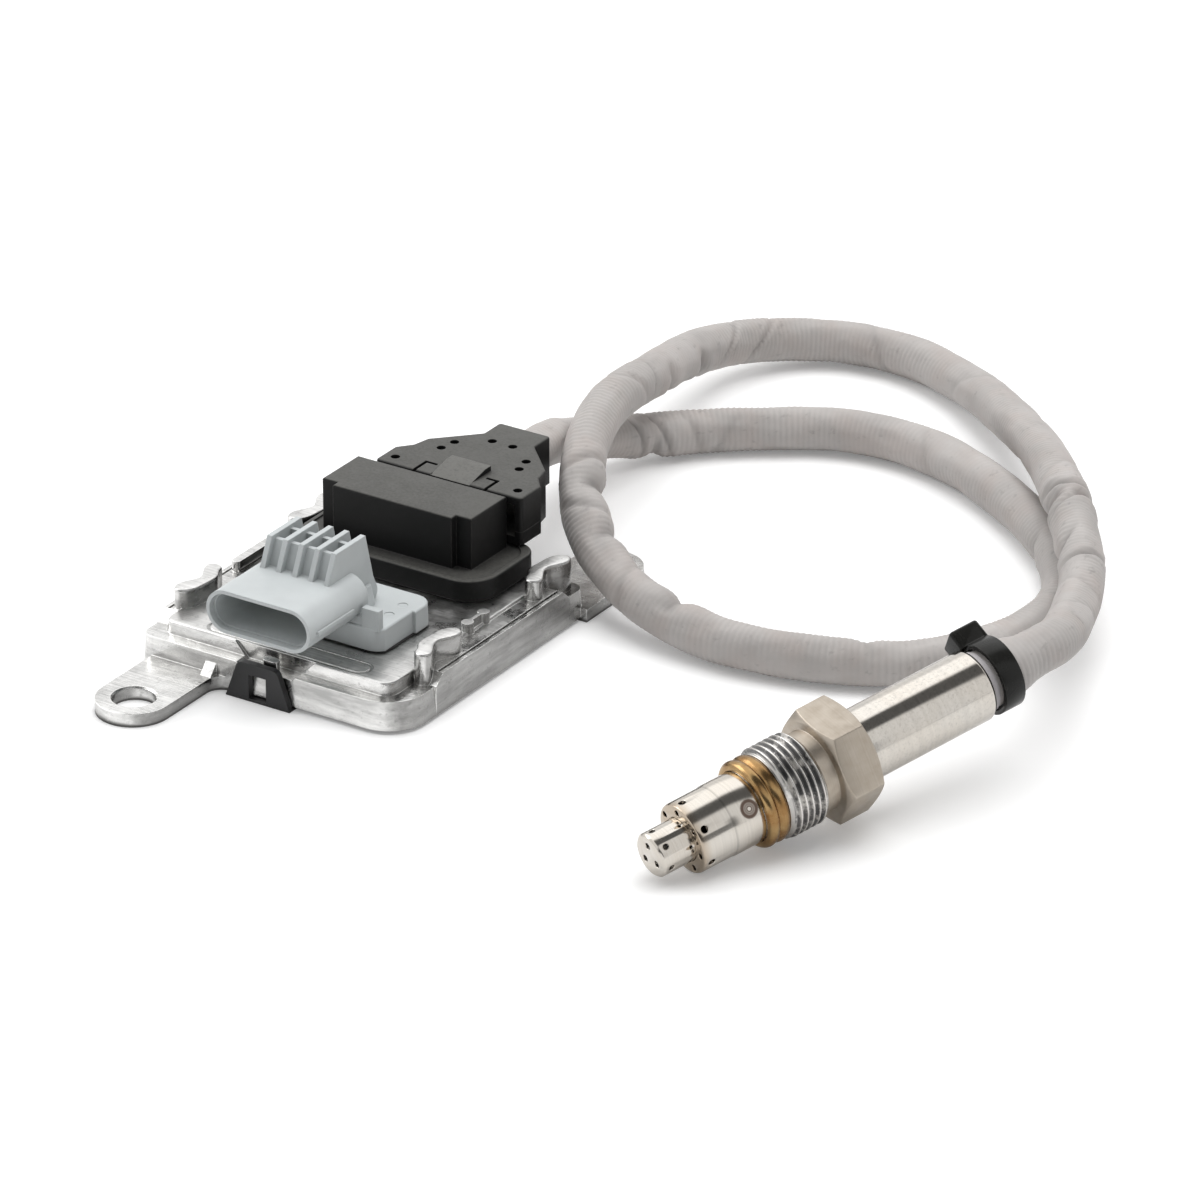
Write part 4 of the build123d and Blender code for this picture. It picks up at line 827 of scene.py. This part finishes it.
def thread_metal():
    """Cut thread: thin crests with a painted highlight, flanks in painted shade that deepens into the roots,
    and scraped patches.
    """
    tree, shader = start_material("Thread Steel")
    grain = use_group(tree, "Grain", Coarse=260.0, Fine=3000.0)
    scraped = spread(tree, noise_node(tree, object_place(tree), 190.0, 4.0, 0.70), 0.54, 0.62, 0.0, 0.9)
    # Painted shade: the deeper a point lies in the groove, the darker its flank
    dark = spread(tree, attribute_value(tree, "groove"), 0.06, 0.26, 0.0, 1.0)
    flank = blend_colour(tree, grain["Tone"], FLANK_SHADE, FLANK_PALE_SHADE)
    tone = overlay(tree, blend_colour(tree, dark, CREST_HIGHLIGHT, flank), SCRAPED_METAL, scraped)
    tree.links.new(tone, shader.inputs["Base Color"])
    tree.links.new(spread(tree, dark, 0, 1, 0.22, 0.42), shader.inputs["Roughness"])
    shader.inputs["Metallic"].default_value = 1.0
    add_bump(tree, shader, grain["Height"], 0.3, 0.05 * mm)


def conduit_skin(settings):
    """Matte sleeve of the conduit: painted shade in its rib grooves and creases, leaving the crests lighter,
    rubbed streaks and faint stains.
    """
    tree, shader = start_material("Conduit Sleeve")
    grain = use_group(tree, "Grain", Coarse=55.0, Fine=2600.0)
    where = object_place(tree)
    colour = settings.colour
    tone = blend_colour(tree, grain["Tone"], shade(colour, 0.84), shade(colour, 1.07))
    # Painted shade: the rib grooves and the creases are darkened
    tone = overlay(tree, tone, shade(colour, 0.66), attribute_value(tree, "groove"), 0.42)
    tone = overlay(tree, tone, shade(colour, 0.30), attribute_value(tree, "fold"), 0.75)
    warm = spread(tree, noise_node(tree, where, 120.0), 0.45, 0.70, 0.0, 0.30)
    tone = overlay(tree, tone, CONDUIT_WARM, warm)
    marks = streaks(tree, where, CONDUIT_MARKS, roughness=0.6)
    tone = overlay(tree, tone, shade(colour, 0.48), spread(tree, marks, 0.60, 0.76, 0.0, 0.5))
    tree.links.new(tone, shader.inputs["Base Color"])
    shader.inputs["Roughness"].default_value = 0.60
    shader.inputs["Specular IOR Level"].default_value = 0.30
    soft = noise_node(tree, where, 330.0, 3.0, 0.55)
    add_bump(tree, shader, total_of(tree, soft, product(tree, grain["Height"], 0.10)), 0.35, 0.30 * mm)


class SENSOR_OT_finishes(Operator):
    """Build the shared shader groups and every finish"""

    bl_idname = "sensor.finishes"
    bl_label = "Finishes"

    def execute(self, context):
        for make in (make_worn_edge_and_highlight_group, make_grain_group, make_turned_group, make_flow_group,
                     make_crevice_shade_group, make_dust_and_sheen_group):
            make()
        probe = context.scene.sensor_probe
        plastic = context.scene.sensor_plastic
        cast_metal(context.scene.sensor_housing)
        for name, colour, rough in (
                ("Grey Plastic", plastic.grey, 0.40),
                ("Seal Rubber", (0.02, 0.02, 0.02), 0.6),
                ("Grommet Rubber", (0.46, 0.44, 0.45), 0.5),
                ("Cover Plastic", (0.018, 0.018, 0.019), 0.45),
                ("Board Laminate", (0.03, 0.16, 0.07), 0.35),
                ("Chip Plastic", (0.03, 0.03, 0.032), 0.5),
                ("Capacitor Ceramic", (0.40, 0.28, 0.16), 0.5),
                ("Lead Insulation", (0.50, 0.06, 0.04), 0.5),
                ("Fired Ceramic", (0.80, 0.78, 0.72), 0.6)):
            moulded_plastic(name, colour, rough)
        dusty_sheened_plastic("Black Plastic", plastic.black, plastic.dust_and_sheen)
        dusty_sheened_plastic("Latch Plastic", plastic.black, shade(plastic.dust_and_sheen, 1.5), rough=0.36)
        dusty_sheened_plastic("Tie Nylon", (0.009, 0.009, 0.008), plastic.dust_and_sheen, rough=0.24, dust_and_sheen_amount=0.05)
        drawn_steel(probe)
        tube_steel(probe)
        for name, colour, rough, values in (
                ("Turned Steel", probe.steel, 0.16,
                 {"bump": 0.10, "tint": (0.56, 0.47, 0.36), "tint_amount": 0.35}),
                ("Screw Steel", probe.screw_steel, 0.40,
                 {"bump": 0.2, "tint": (0.42, 0.36, 0.29), "tint_amount": 0.55, "coarse": 420.0}),
                ("Tinted Steel", probe.gold, 0.24,
                 {"bump": 0.2, "tint": (0.22, 0.10, 0.03), "tint_amount": 0.8, "coarse": 260.0}),
                ("Contact Metal", (0.72, 0.62, 0.40), 0.25, {})):
            turned_metal(name, colour, rough, **values)
        thread_metal()
        conduit_skin(context.scene.sensor_conduit)
        return {"FINISHED"}


# Pieces


def tube_rings(path, wide, radius_of):
    """Carry a ring of points along a path without twist. radius_of gives each point's radius."""
    tangents = [(b - a).normalized() for a, b in zip(path, path[1:])]
    tangents.append(tangents[-1])
    across = tangents[0].orthogonal().normalized()
    station = 0.0
    points = []
    for index, (centre, tangent) in enumerate(zip(path, tangents)):
        if index:
            station += (centre - path[index - 1]).length
            across = (across - tangent * across.dot(tangent)).normalized()
        up = tangent.cross(across)
        for step in range(wide):
            angle = 2 * pi * step / wide
            way = across * cos(angle) + up * sin(angle)
            points.append(centre + way * radius_of(station, angle, way, tangent))
    return points


def even_points(points, spacing):
    """Points at an even spacing along a line of points, and the line's length."""
    stations = [0.0]
    for a, b in zip(points, points[1:]):
        stations.append(stations[-1] + (b - a).length)
    total = stations[-1]
    count = max(2, round(total / spacing))
    made = []
    index = 0
    for step in range(count + 1):
        at = total * step / count
        while index < len(stations) - 2 and stations[index + 1] < at:
            index += 1
        share = (at - stations[index]) / (stations[index + 1] - stations[index])
        made.append(points[index].lerp(points[index + 1], share))
    return made, total


def conduit_line():
    """The conduit's centre line, read from a spline through its route's control points."""
    end = probe_tip + probe_dir * CONDUIT_END_STATION
    lead = end + probe_dir * CONDUIT_RUN
    route = [CONDUIT_START, *CONDUIT_ROUTE, tuple(lead), tuple(end)]
    curve = bpy.data.curves.new("conduit_line", "CURVE")
    curve.dimensions = "3D"
    curve.resolution_u = 24
    spline = curve.splines.new("NURBS")
    spline.points.add(len(route) - 1)
    for point, place in zip(spline.points, route):
        point.co = (*place, 1.0)
    spline.order_u = 3
    spline.use_endpoint_u = True
    holder = bpy.data.objects.new("conduit_line", curve)
    bpy.context.scene.collection.objects.link(holder)
    bpy.context.view_layer.update()
    line = bpy.data.meshes.new_from_object(holder)
    points = [v.co.copy() for v in line.vertices]
    bpy.data.objects.remove(holder)
    bpy.data.meshes.remove(line)
    return points


def bell(distance, width):
    """One at no distance, falling smoothly to nothing past the width."""
    return exp(-((distance / width) ** 2))


def crease_depth(station, way, tangent):
    """How far the creases push a point in, with the small swelling beside each, and how much painted shade
    they lay on it.
    """
    moved = 0.0
    dark = 0.0
    for place, lean, side, deep, width in CREASES:
        gap = station / mm - place
        if abs(gap) > CREASE_REACH:
            continue
        across = way.dot(tangent.cross(CREASE_SIDE).normalized())
        facing = way.dot(CREASE_SIDE) if side == 0 else across * side
        amount = min(1.0, max(0.0, (facing + 0.1) / 0.7))
        gap = gap - lean * across
        swell = bell(gap - 1.9 * width, 1.4 * width) + bell(gap + 2.2 * width, 1.6 * width)
        moved += CREASE_SCALE * deep * mm * amount * (0.30 * swell - bell(gap, width))
        dark += deep * amount * bell(gap, 0.6 * width)
    return moved, min(1.0, dark)


class SENSOR_OT_conduit(Operator):
    """Ribbed conduit from the plug to the probe, with its folds and its tie"""

    bl_idname = "sensor.conduit"
    bl_label = "Conduit"

    def execute(self, context):
        settings = context.scene.sensor_conduit
        points, total = even_points(conduit_line(), settings.rib_pitch / RIB_STEPS)
        folds = []
        grooves = []

        def radius_at(station, angle, way, tangent):
            """Radius with ribs, dents that come and go along it, creases, and the flare at the tie."""
            drift = RIB_DRIFT * noise.noise(Vector((station * DRIFT_WAVES, 3.0, 0.0)))
            rib = 0.5 + 0.5 * cos(2 * pi * (station + drift) / settings.rib_pitch)
            fade = noise.noise(Vector((station * FADE_WAVES, cos(angle) * 0.8 + 9, sin(angle) * 0.8)))
            deep = settings.rib_height * min(1.3, max(0.15, 0.75 + 1.5 * fade))
            soft = noise.noise(Vector((station * DENT_WAVES, cos(angle) * 0.9, sin(angle) * 0.9)))
            fold = noise.noise(Vector((
                station * FOLD_WAVES + 7, cos(angle) * 2.2 + station * FOLD_TWIST, sin(angle) * 2.2)))
            dent = settings.wrinkle * (0.60 * soft + 0.55 * min(fold, 0.12))
            flare = FLARE_HEIGHT / (1 + exp((total - station - FLARE_RUN) / FLARE_SLOPE))
            moved, dark = crease_depth(station, way, tangent)
            # Each point keeps the painted shade of its creases
            folds.append(dark)
            grooves.append((1 - rib) * deep / (1.3 * settings.rib_height))
            return settings.diameter / 2 - deep * (1 - rib) + dent + flare - SKIN_INSET + moved

        wide = settings.segments
        vertices = tube_rings(points, wide, radius_at)
        faces = rows_of_faces(len(points), wide, closed=True)
        # The middles of both ends close the tube, with no groove and no painted crease shade
        start, last_row = len(vertices), len(vertices) - wide
        vertices += [points[0], points[-1]]
        for step in range(wide):
            following = (step + 1) % wide
            faces.append((start, following, step))
            faces.append((start + 1, last_row + step, last_row + following))
        folds += [0.0, 0.0]
        grooves += [0.0, 0.0]
        tube = mesh_object("conduit_tube", vertices, faces, groove=grooves, fold=folds)
        pick(tube)
        bpy.ops.object.shade_smooth()
        fit_out(tube, "conduit_tube", "Conduit Sleeve", "conduit_grey", BODY, "conduit")
        tie = dress("cable_tie", "conduit_tie", "Tie Nylon", "tie_nylon", TIE_EDGE)
        return {"FINISHED"}


def thread_sleeve(settings):
    """A sleeve whose rows follow the helix, so that the crests are clean."""
    top = settings.thread_radius
    length = settings.thread_length
    root = top - settings.thread_depth
    rows = round(length / settings.thread_pitch * THREAD_STEPS) + 2 * THREAD_STEPS + 1
    vertices = []
    grooves = []
    for row in range(rows):
        phase = (row / THREAD_STEPS) % 1.0
        crest = min(1.0, max(0.0, CREST_RISE * (1 - abs(2 * phase - 1)) - CREST_CUT))
        for step in range(THREAD_TURNS + 1):
            turn = step / THREAD_TURNS
            station = min(max((row / THREAD_STEPS - 1.0 + turn) * settings.thread_pitch, 0.0), length)
            limit = min(top - THREAD_CHAMFER + station,
                        top - THREAD_CHAMFER * THREAD_END_SLOPE + (length - station) * THREAD_END_SLOPE)
            reach = min(root + settings.thread_depth * crest, max(limit, root - ROOT_SLACK))
            vertices.append(probe_point(settings.thread_start + station, 2 * pi * turn, reach))
            # The rubbed ends are painted crest-bright: wear and a painted highlight
            rubbed = station < RUBBED_FRONT or station > length - RUBBED_REAR
            grooves.append(RUBBED_HIGHLIGHT_TONE if rubbed else (top - reach) / settings.thread_depth)
    faces = rows_of_faces(rows, THREAD_TURNS + 1, closed=False)
    thread = mesh_object("thread", vertices, faces, groove=grooves)
    edit_all(thread)
    bpy.ops.mesh.remove_doubles(threshold=2 * MERGE_DISTANCE)
    bpy.ops.mesh.delete_loose()
    bpy.ops.object.mode_set(mode="OBJECT")
    return thread


def thread_bore(settings):
    """Rings for the front face, the bore and the rear face inside the thread."""
    bore = settings.bore_radius
    end = settings.thread_length
    outline = [
        (settings.thread_radius - THREAD_CHAMFER, 0.0), (bore + BORE_CHAMFER, 0.0), (bore, BORE_CHAMFER),
        (bore, end), (settings.thread_radius - settings.thread_depth - ROOT_SLACK, end),
    ]
    vertices = [probe_point(settings.thread_start + station, 2 * pi * step / THREAD_TURNS, reach)
                for reach, station in outline for step in range(THREAD_TURNS)]
    return mesh_object("bore", vertices, rows_of_faces(len(outline), THREAD_TURNS, closed=True))


class SENSOR_OT_union_screw(Operator):
    """Union screw with its cut thread, relief and hexagon"""

    bl_idname = "sensor.union_screw"
    bl_label = "Union screw"

    def execute(self, context):
        settings = context.scene.sensor_probe
        # The plain screw keeps its relief and hexagon, and loses its smooth front
        screw = merged_copy("union_screw", "union_screw_cut")
        cut = settings.thread_start + settings.thread_length - SCREW_OVERLAP
        edit_all(screw)
        bpy.ops.mesh.bisect(plane_co=probe_point(cut, 0.0, 0.0), plane_no=probe_dir,
                            use_fill=False, clear_inner=True)
        bpy.ops.object.mode_set(mode="OBJECT")
        soften(screw, SCREW_EDGE, HEXAGON_ANGLE)
        # Front face, bore and rear face close the threaded sleeve
        thread = thread_sleeve(settings)
        bore = thread_bore(settings)
        pick(thread)
        bore.select_set(True)
        bpy.ops.object.join()
        edit_all(thread)
        bpy.ops.mesh.normals_make_consistent(inside=False)
        bpy.ops.object.mode_set(mode="OBJECT")
        bpy.ops.object.shade_smooth_by_angle(angle=THREAD_ANGLE)
        fit_out(screw, "union_screw_hexagon", "Screw Steel", "union_steel", SCREW_BODY, "union_screw")
        fit_out(thread, "union_screw_thread", "Thread Steel", "union_steel", SCREW_BODY)
        return {"FINISHED"}


class SENSOR_OT_housing(Operator):
    """Cast housing and its bottom cover"""

    bl_idname = "sensor.housing"
    bl_label = "Housing"

    def execute(self, context):
        dress("housing", "cast_housing", "Cast Metal", "cast_aluminium")
        dress("bottom_cover", "snap_cover", "Cover Plastic", "cover_plastic")
        return {"FINISHED"}


class SENSOR_OT_connectors(Operator):
    """Grey vehicle connector, black header and the plug"""

    bl_idname = "sensor.connectors"
    bl_label = "Connectors"

    def execute(self, context):
        dress("vehicle_connector", "grey_connector", "Grey Plastic", "grey_plastic")
        dress("sensor_header", "black_header", "Black Plastic", "black_plastic")
        dress("plug_cover", "plug_top", "Black Plastic", "black_plastic")
        dress("plug_base", "plug_bottom", "Black Plastic", "black_plastic")
        dress("plug_latch", "plug_slide", "Latch Plastic", "black_plastic")
        return {"FINISHED"}


class SENSOR_OT_probe(Operator):
    """Tubes, body, seat ring, sleeve and grommet of the probe"""

    bl_idname = "sensor.probe"
    bl_label = "Probe"

    def execute(self, context):
        dress("inner_tube", "probe_nose", "Turned Steel", "probe_steel", TUBE_EDGE)
        dress("outer_tube", "probe_tube", "Tube Steel", "probe_steel", TUBE_EDGE)
        dress("sensor_body", "probe_body", "Turned Steel", "probe_steel")
        dress("seat_ring", "probe_seat_ring", "Tinted Steel", "tinted_steel", RING_EDGE)
        dress("sleeve", "probe_sleeve", "Drawn Steel", "probe_steel", RING_EDGE)
        dress("cable_grommet", "probe_grommet", "Grommet Rubber", "seal_rubber", RING_EDGE)
        return {"FINISHED"}


class SENSOR_OT_inner_parts(Operator):
    """Finishes of the parts that stay as the frame has them"""

    bl_idname = "sensor.inner_parts"
    bl_label = "Inner parts"

    def execute(self, context):
        # Each slot is named after its finish
        slot_of_node = {s["node"]: s["material_slot"] for s in frame["record"]["subparts"]}
        for name, node in nodes.items():
            if not node.hide_render:
                set_finish(node, slot_of_node[name].replace("_", " ").title())
        return {"FINISHED"}


# Stage


def area_light(name, place, target, size, power):
    """A square softbox that faces a point."""
    light = bpy.data.lights.new(name, "AREA")
    light.shape = "SQUARE"
    light.size = size
    light.energy = power
    lamp = bpy.data.objects.new(name, light)
    lamp.location = place
    lamp.rotation_euler = (target - Vector(place)).to_track_quat("-Z", "Y").to_euler()
    bpy.context.scene.collection.objects.link(lamp)
    return lamp


def mirrored_room(tree, way):
    """How bright metal sees the studio: a dark gap overhead, a dim room behind the camera, and white else."""
    height = split_vector(tree, way)["Z"]
    aside = vector_value(tree, "DOT_PRODUCT", way, STUDIO_RIGHT)
    behind = vector_value(tree, "DOT_PRODUCT", way, STUDIO_BACK)
    high = spread(tree, height, 0.45, 0.60, 0.0, 1.0)
    low = spread(tree, height, 0.42, 0.52, 1.0, 0.0)
    between_boxes = product(tree, spread(tree, aside, -0.13, -0.05, 0.0, 1.0),
                            spread(tree, aside, 0.44, 0.54, 1.0, 0.0))
    gap = product(tree, between_boxes, high)
    left_box = product(tree, high, spread(tree, aside, -0.20, -0.10, BOX_LEVEL, 0.0))
    walls = total_of(tree, left_box, spread(tree, aside, 0.30, 0.60, 1.0, RIGHT_WALL_LEVEL))
    room = product(tree, spread(tree, behind, 0.68, 0.80, 0.0, 1.0), low)
    dim = product(tree, spread(tree, gap, 0.0, 1.0, 1.0, DARK_LEVEL),
                  spread(tree, room, 0.0, 1.0, 1.0, DARK_LEVEL))
    return product(tree, dim, walls)


def make_world(strength):
    """White to the camera, a studio in reflections, and plain light from all round."""
    world = bpy.data.worlds.new("Studio")
    bpy.context.scene.world = world
    world.use_nodes = True
    tree = world.node_tree
    way = tree.nodes.new("ShaderNodeTexCoord").outputs["Generated"]
    light = tree.nodes["Background"]
    grade = spread(tree, split_vector(tree, way)["Z"], 0.0, 0.9, 0.35, 1.0)
    tree.links.new(product(tree, grade, strength), light.inputs["Strength"])
    white = tree.nodes.new("ShaderNodeBackground")
    for background in (light, white):
        background.inputs["Color"].default_value = (1, 1, 1, 1)
    path = tree.nodes.new("ShaderNodeLightPath").outputs
    bright = blend_value(tree, path["Is Camera Ray"], mirrored_room(tree, way), 1.0)
    tree.links.new(bright, white.inputs["Strength"])
    reflected = math_node(tree, "ADD", path["Is Glossy Ray"], path["Is Transmission Ray"], clamp=True)
    shown = math_node(tree, "ADD", path["Is Camera Ray"], reflected, clamp=True)
    mix = tree.nodes.new("ShaderNodeMixShader")
    tree.links.new(shown, mix.inputs["Fac"])
    tree.links.new(light.outputs[0], mix.inputs[1])
    tree.links.new(white.outputs[0], mix.inputs[2])
    tree.links.new(mix.outputs[0], tree.nodes["World Output"].inputs["Surface"])


def floor_finish():
    """White floor that stays white to the camera where it is lit, and keeps the shadows."""
    tree, shader = start_material("White Floor")
    shader.inputs["Base Color"].default_value = (*FLOOR_COLOUR, 1)
    shader.inputs["Roughness"].default_value = 0.9
    shader.inputs["Specular IOR Level"].default_value = 0.0
    glow = tree.nodes.new("ShaderNodeEmission")
    path = tree.nodes.new("ShaderNodeLightPath").outputs
    seen = total_of(tree, product(tree, path["Is Camera Ray"], FLOOR_GLOW),
                    product(tree, path["Is Glossy Ray"], FLOOR_MIRRORED))
    tree.links.new(seen, glow.inputs["Strength"])
    add = tree.nodes.new("ShaderNodeAddShader")
    tree.links.new(shader.outputs[0], add.inputs[0])
    tree.links.new(glow.outputs[0], add.inputs[1])
    tree.links.new(add.outputs[0], tree.nodes["Material Output"].inputs["Surface"])


class SENSOR_OT_stage(Operator):
    """Floor, softboxes, surroundings and the camera"""

    bl_idname = "sensor.stage"
    bl_label = "Stage"

    def execute(self, context):
        settings = context.scene.sensor_stage
        context.scene.view_settings.view_transform = "Standard"
        deselect()
        bpy.ops.mesh.primitive_plane_add(size=FLOOR_SIZE, location=(0, 0, -FLOOR_DROP))
        floor = context.object
        floor.name = "floor"
        settle(floor)
        floor_finish()
        set_finish(floor, "White Floor")
        target = Vector(settings.target)
        top_box = area_light("Top Softbox", TOP_BOX_PLACE, target, TOP_BOX_SIZE, settings.top_light)
        top_box.visible_glossy = False
        area_light("Left Softbox", LEFT_BOX_PLACE, target, LEFT_BOX_SIZE, settings.side_light)
        make_world(settings.world_light)
        azimuth, elevation = settings.azimuth, settings.elevation
        back = Vector((sin(azimuth) * cos(elevation), -cos(azimuth) * cos(elevation), sin(elevation)))
        camera = bpy.data.objects.new("Camera", bpy.data.cameras.new("Camera"))
        context.scene.collection.objects.link(camera)
        camera.data.sensor_width = SENSOR_WIDTH
        camera.data.lens = settings.lens
        camera.data.clip_start = CLIP_START
        camera.location = target + back * settings.distance
        camera.rotation_euler = (-back).to_track_quat("-Z", "Y").to_euler()
        context.scene.camera = camera
        return {"FINISHED"}


class SENSOR_PT_dresser(Panel):
    """Buttons and values for the sensor"""

    bl_idname = "SENSOR_PT_dresser"
    bl_label = "Sensor"
    bl_space_type = "VIEW_3D"
    bl_region_type = "UI"
    bl_category = "Sensor"

    def draw(self, context):
        layout = self.layout
        for operator in OPERATORS:
            layout.operator(operator.bl_idname)
        for name, group in SETTINGS.items():
            box = layout.box()
            for prop in group.__annotations__:
                box.prop(getattr(context.scene, name), prop)


SETTINGS = {
    "sensor_conduit": ConduitSettings,
    "sensor_housing": HousingSettings,
    "sensor_plastic": PlasticSettings,
    "sensor_probe": ProbeSettings,
    "sensor_stage": StageSettings,
}
OPERATORS = (
    SENSOR_OT_finishes, SENSOR_OT_housing, SENSOR_OT_connectors, SENSOR_OT_conduit,
    SENSOR_OT_union_screw, SENSOR_OT_probe, SENSOR_OT_inner_parts, SENSOR_OT_stage,
)


def register():
    """Register the settings, the operators and the panel."""
    for name, group in SETTINGS.items():
        bpy.utils.register_class(group)
        setattr(bpy.types.Scene, name, PointerProperty(type=group))
    for operator in OPERATORS:
        bpy.utils.register_class(operator)
    bpy.utils.register_class(SENSOR_PT_dresser)


def unregister():
    """Undo register."""
    bpy.utils.unregister_class(SENSOR_PT_dresser)
    for operator in reversed(OPERATORS):
        bpy.utils.unregister_class(operator)
    for name, group in SETTINGS.items():
        delattr(bpy.types.Scene, name)
        bpy.utils.unregister_class(group)


def main():
    """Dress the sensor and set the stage."""
    register()
    bpy.ops.sensor.finishes()
    bpy.ops.sensor.housing()
    bpy.ops.sensor.connectors()
    bpy.ops.sensor.conduit()
    bpy.ops.sensor.union_screw()
    bpy.ops.sensor.probe()
    bpy.ops.sensor.inner_parts()
    bpy.ops.sensor.stage()


if __name__ == "__main__":
    main()
